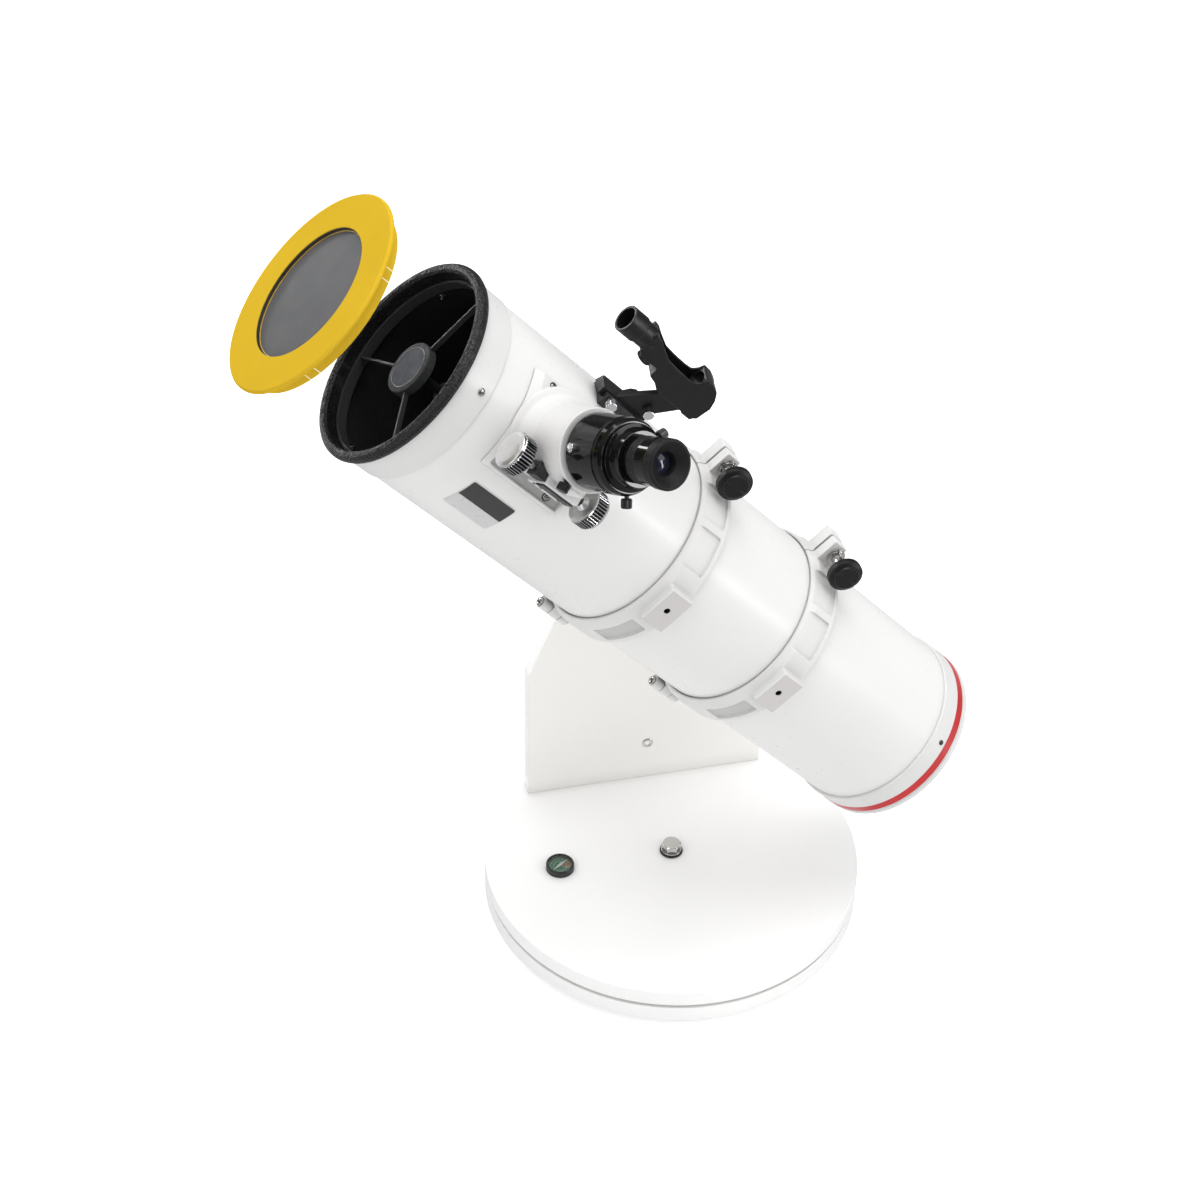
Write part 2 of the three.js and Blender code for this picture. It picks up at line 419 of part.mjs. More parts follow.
// ------------------------------------------------------------ finder
{
  const e = dirOf(FINDER_PHI);
  // X across the tube, Y to the front, Z outwards
  const m = new THREE.Matrix4().makeBasis(new THREE.Vector3(-e[1], e[0], 0), new THREE.Vector3(0, 0, 1), new THREE.Vector3(...e));
  const fin = (g) => g.clone().applyMatrix4(m);
  const bore = new THREE.CylinderGeometry(91.4, 91.4, 300, SEG).translate(0, 220, 0);
  // drawn in (s, h) and pushed sideways
  const side = (pts, x0, x1) => plate(pts, x0, x1).applyMatrix4(new THREE.Matrix4().makeBasis(
    new THREE.Vector3(0, 1, 0), new THREE.Vector3(0, 0, 1), new THREE.Vector3(1, 0, 0)));
  const across = (pts, s0, s1) => plate(pts, s0, s1).applyMatrix4(new THREE.Matrix4().makeBasis(
    new THREE.Vector3(-1, 0, 0), new THREE.Vector3(0, 0, 1), new THREE.Vector3(0, 1, 0)));
  add(tube, 'finder_shoe', fin(cut(box(-13.5, 13.5, 196, 247, 86, 102.5),
    bore,
    across([[-9.8, 95.7], [9.8, 95.7], [7.9, 105], [-7.9, 105]], 190, 260),
    along(rod(2.4, 0, 14, 10), [-5, 240, 99.8], [-1, 0, 0]))), MAT.plastic);
  add(tube, 'shoe_thumbscrew', fin(along(join(rod(2, 0, 8, 10), plate(lobed(5, 0.5, 10, 4), 5.2, 13.3)), [-9.4, 240, 99.8], [-1, 0, 0])), MAT.chrome);
  add(tube, 'finder_bracket', fin(join(
    across([[-9.2, 96], [9.2, 96], [7.4, 104.6], [-7.4, 104.6]], 198, 252),
    side([[236.5, 104.4], [204.5, 104.4], [185, 132.4], [211.5, 132.4]], -8.4, -2.4),
    side([[231, 104.3], [213, 104.3], [216, 114], [221, 116], [226, 113]], -3, 4))), MAT.plastic);
  const prof = [[262, 152.4], [259, 151], [257, 149.2], [236, 149.2], [234.5, 140], [226, 138], [219, 134], [213, 132.9], [184.6, 132.9], [183.6, 131.8], [172.6, 131.8],
    [171, 135], [168.4, 137], [168, 152], [172, 161], [178, 168], [186, 171], [194.5, 171.5], [196, 166], [200, 161.2], [208, 160.6], [222, 161], [235, 162.2], [248, 167.8],
    [256, 172], [262, 173]];
  add(tube, 'finder_body', fin(cut(join(
    side(prof, -11, 11),
    new THREE.CylinderGeometry(11.6, 11.6, 31, 20).translate(0, 273.5, 162)),
    new THREE.CylinderGeometry(9.9, 9.9, 60, 14).translate(0, 281, 162),
    new THREE.CylinderGeometry(8.2, 8.2, 50, 14).translate(0, 185, 160.5),
    side([[258, 155.5], [194.6, 148.5], [194.6, 190], [258, 190]], -8.8, 8.8),
    along(rod(2.4, 0, 8, 10), [0, 246, 145], [0, 0, 1]))), MAT.finder);
  add(tube, 'finder_wheel', fin(along(join(plate(lobed(7.4, 0.6, 12, 3), 0, 5.4), rod(2, 5, 9.5, 10)), [0, 246, 143.2], [0, 0, 1])), MAT.plastic);
}

// ------------------------------------------------------------ solar filter, off the tube
{
  const f = FILTER_S;
  add(tube, 'solar_filter_ring', turn([[62, f], [94, f], [95.5, f - 1.4], [95.5, f - 3.6], [87.2, f - 3.6], [87.2, f - 15.6], [85, f - 15.6], [85, f - 6.4], [70.8, f - 6.4],
    [70.8, f - 4.2], [62, f - 4.2]], SEG, true), MAT.yellow);
  add(tube, 'solar_filter_film', rod(70.2, f - 5.8, f - 4.5, SEG), MAT.film);
}

export default root;
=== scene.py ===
import math
import bpy, bmesh
import numpy as np
from mathutils import Matrix, Vector


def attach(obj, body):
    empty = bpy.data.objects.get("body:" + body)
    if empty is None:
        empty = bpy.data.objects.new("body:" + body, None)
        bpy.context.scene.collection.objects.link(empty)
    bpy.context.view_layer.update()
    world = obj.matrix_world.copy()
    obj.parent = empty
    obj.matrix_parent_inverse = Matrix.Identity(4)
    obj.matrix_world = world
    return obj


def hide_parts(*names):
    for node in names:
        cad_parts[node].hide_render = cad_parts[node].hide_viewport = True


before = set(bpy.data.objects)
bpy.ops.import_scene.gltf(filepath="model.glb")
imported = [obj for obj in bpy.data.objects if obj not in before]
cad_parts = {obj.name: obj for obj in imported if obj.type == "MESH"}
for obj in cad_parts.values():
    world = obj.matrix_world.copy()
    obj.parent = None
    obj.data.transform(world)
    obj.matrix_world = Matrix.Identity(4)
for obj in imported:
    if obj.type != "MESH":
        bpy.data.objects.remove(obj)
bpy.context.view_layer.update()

# ---------------------------------------------------------------- frames, all lengths in millimetres
D2R = math.pi / 180
TOP = 42.0                     # top of the turning board
AXIS_H = TOP + 384.5
ALT = 46.2 * D2R
PANEL_Y, PANEL_T = 116.5, 18.0
n_ = Vector((0, -1, 0)); u_ = Vector((math.sin(ALT), 0, math.cos(ALT))); t_ = Vector((-math.cos(ALT), 0, math.sin(ALT)))
A_ = Vector((0, -32, AXIS_H))


def basis(x, y, z, o):
    m = Matrix(((x[0], y[0], z[0], o[0]), (x[1], y[1], z[1], o[1]), (x[2], y[2], z[2], o[2]), (0, 0, 0, 1)))
    return Matrix.Scale(0.001, 4) @ m


WORLD = Matrix.Scale(0.001, 4)
TUBE = basis(n_, u_, t_, A_)
PHI = 33.5 * D2R
d_ = n_ * math.cos(PHI) + u_ * math.sin(PHI); w_ = u_ * math.cos(PHI) - n_ * math.sin(PHI)
FOC = basis(w_, t_, d_, A_ + t_ * 278)
PF = 80 * D2R
e_ = n_ * math.cos(PF) + u_ * math.sin(PF); l_ = u_ * math.cos(PF) - n_ * math.sin(PF)
FIN = basis(l_, t_, e_, A_)

# ---------------------------------------------------------------- mesh code


def fillet(pts, r=0.8, n=4, closed=False):
    """Rounds the corners of a polyline; a point may carry its own radius as a third number."""
    out, N = [], len(pts)
    for i, p in enumerate(pts):
        rr = p[2] if len(p) > 2 else r
        if (not closed and i in (0, N - 1)) or rr <= 0:
            out.append((p[0], p[1])); continue
        a, b = pts[i - 1], pts[(i + 1) % N]
        va = np.array([a[0] - p[0], a[1] - p[1]], float); vb = np.array([b[0] - p[0], b[1] - p[1]], float)
        la, lb = np.linalg.norm(va), np.linalg.norm(vb)
        if la < 1e-6 or lb < 1e-6:
            out.append((p[0], p[1])); continue
        va /= la; vb /= lb
        c = float(np.clip(va @ vb, -1, 1)); ang = math.acos(c)
        if ang > math.pi - 0.06 or ang < 0.05:
            out.append((p[0], p[1])); continue
        tl = min(rr / math.tan(ang / 2), 0.45 * la, 0.45 * lb); rr = tl * math.tan(ang / 2)
        bis = (va + vb) / np.linalg.norm(va + vb)
        ctr = np.array([p[0], p[1]]) + bis * (rr / math.sin(ang / 2))
        s, e = np.array([p[0], p[1]]) + va * tl - ctr, np.array([p[0], p[1]]) + vb * tl - ctr
        a0, a1 = math.atan2(s[1], s[0]), math.atan2(e[1], e[0])
        da = (a1 - a0 + math.pi) % (2 * math.pi) - math.pi
        for k in range(n + 1):
            q = a0 + da * k / n
            out.append((ctr[0] + rr * math.cos(q), ctr[1] + rr * math.sin(q)))
    return out


def lathe(pts, seg=128, closed=False):
    V, F, rows = [], [], []
    for r, z in pts:
        if abs(r) < 1e-7:
            rows.append([len(V)]); V.append((0, 0, z))
        else:
            rows.append(list(range(len(V), len(V) + seg)))
            V += [(r * math.cos(2 * math.pi * i / seg), r * math.sin(2 * math.pi * i / seg), z) for i in range(seg)]
    pairs = list(zip(rows[:-1], rows[1:])) + ([(rows[-1], rows[0])] if closed else [])
    for a, b in pairs:
        for i in range(seg):
            j = (i + 1) % seg
            if len(a) == 1 and len(b) == 1: continue
            if len(a) == 1: F.append((a[0], b[j], b[i]))
            elif len(b) == 1: F.append((a[i], a[j], b[0]))
            else: F.append((a[i], a[j], b[j], b[i]))
    return V, F


def prism(pts, z0, z1):
    N = len(pts)
    V = [(x, y, z0) for x, y in pts] + [(x, y, z1) for x, y in pts]
    F = [tuple(range(N - 1, -1, -1)), tuple(range(N, 2 * N))] + [(i, (i + 1) % N, N + (i + 1) % N, N + i) for i in range(N)]
    return V, F


def loft(rings, caps=True):
    V, F, N = [], [], len(rings[0])
    for r in rings: V += [tuple(p) for p in r]
    for k in range(len(rings) - 1):
        for i in range(N):
            j = (i + 1) % N
            F.append((k * N + i, k * N + j, (k + 1) * N + j, (k + 1) * N + i))
    if caps:
        F.append(tuple(range(N - 1, -1, -1))); F.append(tuple(range((len(rings) - 1) * N, len(rings) * N)))
    return V, F


def box(x0, x1, y0, y1, z0, z1):
    return prism([(x0, y0), (x1, y0), (x1, y1), (x0, y1)], z0, z1)


def rod(r, z0, z1, seg=48, b=0.4):
    return lathe(fillet([(0, z0), (r, z0), (r, z1), (0, z1)], b, 3), seg)


def pipe(ri, ro, z0, z1, seg=96, b=0.3):
    return lathe(fillet([(ri, z0), (ro, z0), (ro, z1), (ri, z1)], b, 3, True), seg, True)


def circ(r, n, cx=0, cy=0, a0=0):
    return [(cx + r * math.cos(a0 + i * 2 * math.pi / n), cy + r * math.sin(a0 + i * 2 * math.pi / n)) for i in range(n)]


def lobes(r, depth, count, per=8, sharp=1.0):
    out = []
    for i in range(count * per):
        a = i * 2 * math.pi / (count * per)
        k = (0.5 - 0.5 * math.cos(a * count)) ** sharp
        out.append(((r - depth * k) * math.cos(a), (r - depth * k) * math.sin(a)))
    return out


def knurled(profile, count, depth, per=6, z_lo=None, z_hi=None, sharp=1.0):
    """A turned piece whose radius is scalloped between z_lo and z_hi."""
    rings = []
    seg = count * per
    for r, z in profile:
        on = (z_lo is None) or (z_lo <= z <= z_hi)
        row = []
        for i in range(seg):
            a = 2 * math.pi * i / seg
            k = (0.5 - 0.5 * math.cos(a * count)) ** sharp if on else 0
            row.append(((r - depth * k) * math.cos(a), (r - depth * k) * math.sin(a), z))
        rings.append(row)
    return loft(rings)


def at(geo, M):
    return [tuple(M @ Vector(v)) for v in geo[0]], geo[1]


def along(geo, pos, axis, up=(0.123, 0.456, 0.789)):
    z = Vector(axis).normalized(); x = Vector(up).cross(z).normalized(); y = z.cross(x)
    m = Matrix(((x[0], y[0], z[0], pos[0]), (x[1], y[1], z[1], pos[1]), (x[2], y[2], z[2], pos[2]), (0, 0, 0, 1)))
    return at(geo, m)


def off_axis(p, pos, axis):
    v = Vector(p) - Vector(pos); a = Vector(axis).normalized()
    return (v - a * v.dot(a)).length


def merge(geos):
    V, F = [], []
    for v, f in geos:
        o = len(V); V += list(v); F += [tuple(i + o for i in q) for q in f]
    return V, F


def outward(bm):
    """faces of every closed island agree and look outwards"""
    bmesh.ops.recalc_face_normals(bm, faces=bm.faces)
    bm.faces.ensure_lookup_table(); bm.faces.index_update()
    seen = [False] * len(bm.faces)
    for f0 in bm.faces:
        if seen[f0.index]: continue
        seen[f0.index] = True; isl, stack, vol = [f0], [f0], 0.0
        while stack:
            f = stack.pop()
            for e in f.edges:
                for g in e.link_faces:
                    if not seen[g.index]:
                        seen[g.index] = True; isl.append(g); stack.append(g)
        for f in isl:
            v = [x.co for x in f.verts]
            for i in range(1, len(v) - 1): vol += v[0].dot(v[i].cross(v[i + 1]))
        if vol < 0: bmesh.ops.reverse_faces(bm, faces=isl)


def mesh_of(geo, name="m"):
    me = bpy.data.meshes.new(name)
    me.from_pydata([tuple(v) for v in geo[0]], [], [tuple(f) for f in geo[1]])
    bm = bmesh.new(); bm.from_mesh(me)
    bmesh.ops.remove_doubles(bm, verts=bm.verts, dist=1e-5)
    outward(bm)
    bm.to_mesh(me); bm.free()
    return me


def link(me):
    ob = bpy.data.objects.new("tmp", me); bpy.context.scene.collection.objects.link(ob); return ob


def evaluated(ob):
    dg = bpy.context.evaluated_depsgraph_get()
    me = bpy.data.meshes.new_from_object(ob.evaluated_get(dg))
    return me


def bake(me, *steps):
    """steps: ('remesh', voxel), ('smooth', factor, times), ('bevel', width, segments), ('cut'|'common'|'join', geo), ('sub', levels)"""
    for s in steps:
        ob = link(me); extra = None
        if s[0] == "remesh":
            m = ob.modifiers.new("r", "REMESH"); m.mode = "VOXEL"; m.voxel_size = s[1]; m.adaptivity = 0
        elif s[0] == "smooth":
            m = ob.modifiers.new("s", "SMOOTH"); m.factor = s[1]; m.iterations = s[2]
        elif s[0] == "bevel":
            m = ob.modifiers.new("b", "BEVEL"); m.width = s[1]; m.segments = s[2]; m.limit_method = "ANGLE"; m.angle_limit = 32 * D2R
            m.use_clamp_overlap = True; m.miter_outer = "MITER_ARC"; m.harden_normals = False
        elif s[0] == "sub":
            m = ob.modifiers.new("u", "SUBSURF"); m.levels = m.render_levels = s[1]
        else:
            extra = link(mesh_of(s[1]))
            m = ob.modifiers.new("c", "BOOLEAN"); m.object = extra; m.solver = "MANIFOLD"
            m.operation = {"cut": "DIFFERENCE", "common": "INTERSECT", "join": "UNION"}[s[0]]
        me2 = evaluated(ob)
        bpy.data.objects.remove(ob)
        if extra: bpy.data.objects.remove(extra)
        me = me2
    return me


PIECES = []


def piece(name, geo, mat, body, M=WORLD, replaces=(), steps=(), angle=32, mats=None, choose=None, wn=True):
    """geo: one (V, F) or a list of them, in millimetres in the frame M."""
    me = mesh_of(merge(geo) if isinstance(geo, list) else geo, name) if not isinstance(geo, bpy.types.Mesh) else geo
    if steps: me = bake(me, *steps)
    me.name = name
    me.materials.clear()
    for m in ([mat] + list(mats or [])): me.materials.append(m)
    if choose:
        for p in me.polygons: p.material_index = choose(p.center, p.normal)
    me.transform(M)
    me.update()
    me.shade_smooth()
    me.set_sharp_from_angle(angle=angle * D2R)
    ob = bpy.data.objects.new(name, me)
    bpy.context.scene.collection.objects.link(ob)
    if wn and angle < 50:
        m = ob.modifiers.new("wn", "WEIGHTED_NORMAL"); m.keep_sharp = True; m.weight = 50; m.mode = "FACE_AREA"
    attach(ob, body)
    if replaces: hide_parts(*replaces)
    PIECES.append(ob)
    return ob


# ---------------------------------------------------------------- materials
class N:
    def __init__(self, name):
        self.m = bpy.data.materials.new(name); self.m.use_nodes = True
        self.t = self.m.node_tree; self.t.nodes.clear()
        self.out = self.t.nodes.new("ShaderNodeOutputMaterial"); self.b = self.t.nodes.new("ShaderNodeBsdfPrincipled")
        self.t.links.new(self.b.outputs[0], self.out.inputs[0])
        self.co = self.t.nodes.new("ShaderNodeTexCoord").outputs["Object"]

    def add(self, kind, **k):
        nd = self.t.nodes.new(kind)
        for a, v in k.items():
            if hasattr(nd, a): setattr(nd, a, v)
            else: nd.inputs[a].default_value = v
        return nd

    def link(self, a, b): self.t.links.new(a, b)

    def noise(self, scale, detail=3.0, rough=0.5, stretch=None, vec=None, dist=0.0):
        v = vec or self.co
        if stretch:
            mp = self.add("ShaderNodeMapping"); mp.inputs["Scale"].default_value = stretch; self.link(v, mp.inputs["Vector"]); v = mp.outputs[0]
        nd = self.add("ShaderNodeTexNoise"); nd.inputs["Scale"].default_value = scale; nd.inputs["Detail"].default_value = detail
        nd.inputs["Roughness"].default_value = rough; nd.inputs["Distortion"].default_value = dist
        self.link(v, nd.inputs["Vector"]); return nd.outputs["Fac"]

    def voronoi(self, scale, feature="F1"):
        nd = self.add("ShaderNodeTexVoronoi"); nd.feature = feature; nd.inputs["Scale"].default_value = scale
        self.link(self.co, nd.inputs["Vector"]); return nd.outputs["Distance"]

    def ramp(self, fac, stops):
        r = self.add("ShaderNodeValToRGB"); e = r.color_ramp.elements
        while len(e) > 1: e.remove(e[-1])
        e[0].position = stops[0][0]; e[0].color = (*stops[0][1], 1)
        for p, c in stops[1:]:
            x = e.new(p); x.color = (*c, 1)
        self.link(fac, r.inputs[0]); return r.outputs[0]

    def rng(self, fac, a, b, lo=0.3, hi=0.7):
        r = self.add("ShaderNodeMapRange"); r.inputs[1].default_value = lo; r.inputs[2].default_value = hi
        r.inputs[3].default_value = a; r.inputs[4].default_value = b; self.link(fac, r.inputs[0]); return r.outputs[0]

    def mul(self, a, b, op="MULTIPLY"):
        r = self.add("ShaderNodeMath"); r.operation = op
        for i, x in enumerate((a, b)):
            if isinstance(x, (int, float)): r.inputs[i].default_value = x
            else: self.link(x, r.inputs[i])
        return r.outputs[0]

    def mix(self, fac, a, b, blend="MIX"):
        r = self.add("ShaderNodeMix"); r.data_type = "RGBA"; r.blend_type = blend
        for s, x in ((r.inputs[0], fac), (r.inputs[6], a), (r.inputs[7], b)):
            if isinstance(x, (int, float)): s.default_value = x
            elif isinstance(x, (tuple, list)): s.default_value = (*x, 1) if len(x) == 3 else x
            else: self.link(x, s)
        return r.outputs[2]

    def bump(self, h, strength, dist=0.001, prev=None):
        b = self.add("ShaderNodeBump"); b.inputs["Strength"].default_value = strength; b.inputs["Distance"].default_value = dist
        self.link(h, b.inputs["Height"])
        if prev is not None: self.link(prev, b.inputs["Normal"])
        return b.outputs[0]

    # painted shade: ambient occlusion factor, used to darken colours in creases, corners and recesses
    def ao(self, dist, lo=0.0, hi=1.0):
        a = self.add("ShaderNodeAmbientOcclusion"); a.samples = 6; a.inputs["Distance"].default_value = dist
        return self.rng(a.outputs["AO"], 0.0, 1.0, lo, hi)

    def radius(self, centre, axis):
        """distance from an axis through centre, in metres"""
        s = self.add("ShaderNodeVectorMath"); s.operation = "SUBTRACT"; self.link(self.co, s.inputs[0]); s.inputs[1].default_value = centre
        c = self.add("ShaderNodeVectorMath"); c.operation = "CROSS_PRODUCT"; self.link(s.outputs[0], c.inputs[0]); c.inputs[1].default_value = axis
        l = self.add("ShaderNodeVectorMath"); l.operation = "LENGTH"; self.link(c.outputs[0], l.inputs[0]); return l.outputs["Value"]

    def dot(self, centre, axis):
        s = self.add("ShaderNodeVectorMath"); s.operation = "SUBTRACT"; self.link(self.co, s.inputs[0]); s.inputs[1].default_value = centre
        c = self.add("ShaderNodeVectorMath"); c.operation = "DOT_PRODUCT"; self.link(s.outputs[0], c.inputs[0]); c.inputs[1].default_value = axis
        return c.outputs["Value"]

    def set(self, **k):
        for a, v in k.items():
            s = self.b.inputs[a.replace("_", " ")]
            if isinstance(v, (int, float)): s.default_value = v
            elif isinstance(v, (tuple, list)): s.default_value = (*v, 1) if len(v) == 3 and s.type == "RGBA" else v
            else: self.link(v, s)
        return self.m


# ao, ao_dist and ao_tint set painted shade: the colour is darkened in creases, corners and recesses
def paint(name, col, rough, coat=0.0, peel=0.0, peel_scale=500, blotch=0.03, ao=0.35, ao_dist=0.004, ao_tint=(0.55, 0.53, 0.5), grain=0.0, grain_scale=2500, spec=0.5, coat_rough=0.08, dust=0.06):
    k = N(name)
    big = k.noise(9, 3); fine = k.noise(180, 4, 0.6)
    c = k.mix(k.rng(big, 0, 1, 0.35, 0.65), tuple(x * (1 - blotch) for x in col), col)
    if dust: c = k.mix(k.rng(k.noise(900, 2), 0, dust, 0.62, 0.75), c, tuple(x * 0.72 for x in col))
    # painted shade: the colour is darkened towards ao_tint in creases, corners and recesses within ao_dist
    if ao: c = k.mix(k.rng(k.ao(ao_dist), ao, 0.0, 0, 1), c, ao_tint, "MULTIPLY")
    nrm = None
    if peel: nrm = k.bump(k.noise(peel_scale, 2, 0.4), peel, 0.0004)
    if grain: nrm = k.bump(k.noise(grain_scale, 3, 0.6), grain, 0.0003, nrm)
    k.set(Base_Color=c, Roughness=k.rng(fine, rough * 0.82, rough * 1.22, 0.3, 0.7), Coat_Weight=coat, Coat_Roughness=coat_rough, Specular_IOR_Level=spec)
    if nrm is not None: k.set(Normal=nrm)
    return k.m


def plastic(name, col, rough, grain=0.15, grain_scale=2200, wear=0.25, spec=0.5, coat=0.0, wear_col=None, pebble=0.0, pebble_scale=900):
    k = N(name)
    fine = k.noise(120, 4, 0.6); smear = k.noise(35, 5, 0.6, stretch=(1, 1, 3))
    c = k.mix(k.rng(fine, 0, 1, 0.3, 0.7), tuple(x * 0.75 for x in col), tuple(min(1, x * 1.2) for x in col))
    geo = k.add("ShaderNodeNewGeometry").outputs["Pointiness"]
    edge = k.mul(k.rng(geo, 0, wear, 0.505, 0.56), k.rng(k.noise(300, 3), 0.3, 1.0, 0.4, 0.6))
    c = k.mix(edge, c, wear_col or tuple(min(1, x * 3 + 0.03) for x in col))
    nrm = k.bump(k.noise(grain_scale, 3, 0.55), grain, 0.0003)
    if pebble:
        nrm = k.bump(k.voronoi(pebble_scale, "SMOOTH_F1"), pebble, 0.001, nrm)
    k.set(Base_Color=c, Roughness=k.rng(smear, rough * 0.8, rough * 1.25), Normal=nrm, Specular_IOR_Level=spec, Coat_Weight=coat, Coat_Roughness=0.12)
    return k.m


def metal(name, col, rough, spun=None, brush=0.15, stain=0.06, scale=9000, aniso=0.0):
    k = N(name)
    if spun:
        r = k.radius(tuple(Vector(spun[0]) * 0.001), spun[1])
        nz = k.add("ShaderNodeTexNoise"); nz.noise_dimensions = "1D"; nz.inputs["Scale"].default_value = scale; nz.inputs["Detail"].default_value = 3; k.link(r, nz.inputs["W"])
        h = nz.outputs["Fac"]
    else:
        h = k.noise(1600, 4, 0.6, stretch=(1, 1, 8))
    blot = k.noise(60, 4)
    c = k.mix(k.rng(blot, 0, 1, 0.35, 0.65), tuple(x * (1 - stain) for x in col), col)
    k.set(Base_Color=c, Metallic=1.0, Roughness=k.rng(k.noise(240, 4), rough * 0.75, rough * 1.35), Normal=k.bump(h, brush, 0.0002), Anisotropic=aniso)
    return k.m


def F2W(M, p):
    v = M @ Vector(p); return (v * 1000)


WHITE_BOARD = paint("white_laminate", (0.935, 0.935, 0.928), 0.5, peel=0.06, peel_scale=260, blotch=0.012, ao=0.4, ao_dist=0.010, grain=0.05)
WHITE_EDGE = paint("white_edge_band", (0.93, 0.93, 0.922), 0.45, peel=0.08, peel_scale=380, blotch=0.02, ao=0.4, ao_dist=0.006, grain=0.06)
PANEL_WHITE = paint("panel_laminate", (0.935, 0.922, 0.895), 0.5, peel=0.06, peel_scale=260, blotch=0.012, ao=0.4, ao_dist=0.02, grain=0.05)
ENAMEL = paint("tube_enamel", (0.728, 0.726, 0.718), 0.32, coat=0.1, coat_rough=0.2, blotch=0.008, ao=0.35, ao_dist=0.012, dust=0.0, spec=0.22)
COLLAR = paint("collar_enamel", (0.655, 0.654, 0.647), 0.33, coat=0.12, coat_rough=0.2, blotch=0.012, ao=0.3, ao_dist=0.004, dust=0.03, spec=0.35)
# painted shade: strong, wide occlusion darkening on the cast parts, deepest in pockets and around the focuser neck
CAST = paint("cast_white", (0.67, 0.667, 0.66), 0.45, coat=0.0, spec=0.3, peel=0.08, peel_scale=900, blotch=0.02, ao=0.95, ao_dist=0.022, ao_tint=(0.5, 0.49, 0.48), grain=0.06)
# painted shade: a greyer copy of the cast white for the lower pocket floors of the ring halves
POCKET_SHADE = paint("pocket_floor_painted_shade", (0.50, 0.498, 0.494), 0.5, peel=0.06, ao=0.8, ao_dist=0.01)
# painted shade: mid grey for the sunken floor below the focuser housing
SUNKEN_FLOOR_SHADE = paint("sunken_floor_painted_shade", (0.36, 0.36, 0.355), 0.4, peel=0.05, peel_scale=1300, blotch=0.04, ao=0.5, ao_dist=0.006)
PAD = paint("pad_face", (0.56, 0.54, 0.535), 0.5, peel=0.1, peel_scale=1300, blotch=0.03, ao=0.5, ao_dist=0.004)
RED = paint("red_stripe", (0.56, 0.010, 0.014), 0.35, coat=0.3, coat_rough=0.2, blotch=0.16, ao=0.0, dust=0.0)
RUBBER = plastic("rubber", (0.022, 0.022, 0.023), 0.75, grain=0.4, grain_scale=1500, wear=0.3)
EYECUP = plastic("eyecup_rubber", (0.006, 0.006, 0.0066), 0.5, grain=0.25, grain_scale=1800, wear=0.25, spec=0.35)
BLACKPL = plastic("black_plastic", (0.013, 0.013, 0.014), 0.42, grain=0.2, wear=0.35)
KNOBPL = plastic("knob_plastic", (0.006, 0.006, 0.0066), 0.38, grain=0.28, grain_scale=1600, wear=0.45, spec=0.32)
RIMPL = plastic("rim_plastic", (0.007, 0.007, 0.0077), 0.34, grain=0.8, grain_scale=1100, wear=0.35, pebble=1.0, pebble_scale=560, spec=0.42)
FINDERPL = plastic("finder_plastic", (0.0075, 0.0072, 0.0078), 0.36, grain=0.3, grain_scale=1800, wear=0.5, spec=0.35)
FLAT_BLACK = paint("flat_black", (0.011, 0.011, 0.0115), 0.75, peel=0.3, peel_scale=700, blotch=0.3, ao=0.0, spec=0.25)
VANE = paint("vane_paint", (0.034, 0.034, 0.038), 0.5, peel=0.1, blotch=0.1, ao=0.0, spec=0.4)
HUBDISC = plastic("hub_disc", (0.060, 0.064, 0.074), 0.45, grain=0.1, wear=0.4, spec=0.05)
HUBLINE = metal("hub_line", (0.22, 0.23, 0.25), 0.35, brush=0.05)
HUBRING = plastic("hub_ring", (0.035, 0.036, 0.038), 0.5, grain=0.2, wear=0.4, spec=0.1)
ANOD = plastic("anodised_black", (0.0022, 0.0022, 0.0025), 0.09, grain=0.015, wear=0.3, spec=0.42, coat=0.0)
ANODM = plastic("anodised_matt", (0.011, 0.011, 0.012), 0.34, grain=0.12, wear=0.4, spec=0.6)
PTFE = paint("ptfe", (0.80, 0.78, 0.72), 0.4, peel=0.05, ao=0.2)
STEEL = metal("bright_steel", (0.47, 0.46, 0.44), 0.22, brush=0.12)
SHANK = metal("stud_chrome", (0.62, 0.61, 0.60), 0.14, brush=0.1)
KNOBFACE = metal("knob_face", (0.93, 0.93, 0.925), 0.34, brush=0.1)
CHROME = metal("chrome", (0.80, 0.80, 0.81), 0.1, brush=0.05)
# painted shade and dark reflection: dark metal for the grooves of the chrome knurls
KNURL_GROOVE_SHADE = metal("knurl_groove_painted_shade", (0.035, 0.035, 0.037), 0.35, brush=0.1)
INK = plastic("screw_black", (0.006, 0.006, 0.007), 0.3, grain=0.1, wear=0.5, spec=0.4)
CREAM = paint("screw_cap_cream", (0.50, 0.46, 0.38), 0.35, ao=0.3)
SOCKET = plastic("socket_dark", (0.09, 0.035, 0.02), 0.5)
MIRROR = metal("mirror_coating", (0.93, 0.94, 0.95), 0.015, brush=0.0, stain=0.01)
YELLOW = None
LABEL_DARK = paint("label_dark", (0.045, 0.043, 0.042), 0.35, peel=0.02, ao=0.0, blotch=0.06)
LABEL_SILVER = paint("label_silver", (0.56, 0.56, 0.565), 0.3, peel=0.02, ao=0.0, blotch=0.04)
LABEL_RIM = paint("label_rim", (0.62, 0.61, 0.60), 0.35, peel=0.0, ao=0.0)


def make_yellow():
    k = N("filter_yellow")
    c = k.mix(k.rng(k.noise(14, 3), 0, 1, 0.35, 0.65), (0.575, 0.372, 0.024), (0.60, 0.392, 0.026))
    # painted shade: the yellow is darkened in creases and recesses
    c = k.mix(k.rng(k.ao(0.006), 0.6, 0, 0, 1), c, (0.75, 0.5, 0.25), "MULTIPLY")
    nrm = k.bump(k.noise(1500, 3, 0.6), 0.12, 0.0003)
    k.set(Base_Color=c, Roughness=k.rng(k.noise(90, 4), 0.32, 0.46), Normal=nrm, Specular_IOR_Level=0.0)
    return k.m


YELLOW = make_yellow()
GOLD = plastic("lip_gold", (0.52, 0.30, 0.03), 0.35, grain=0.1, wear=0.1)


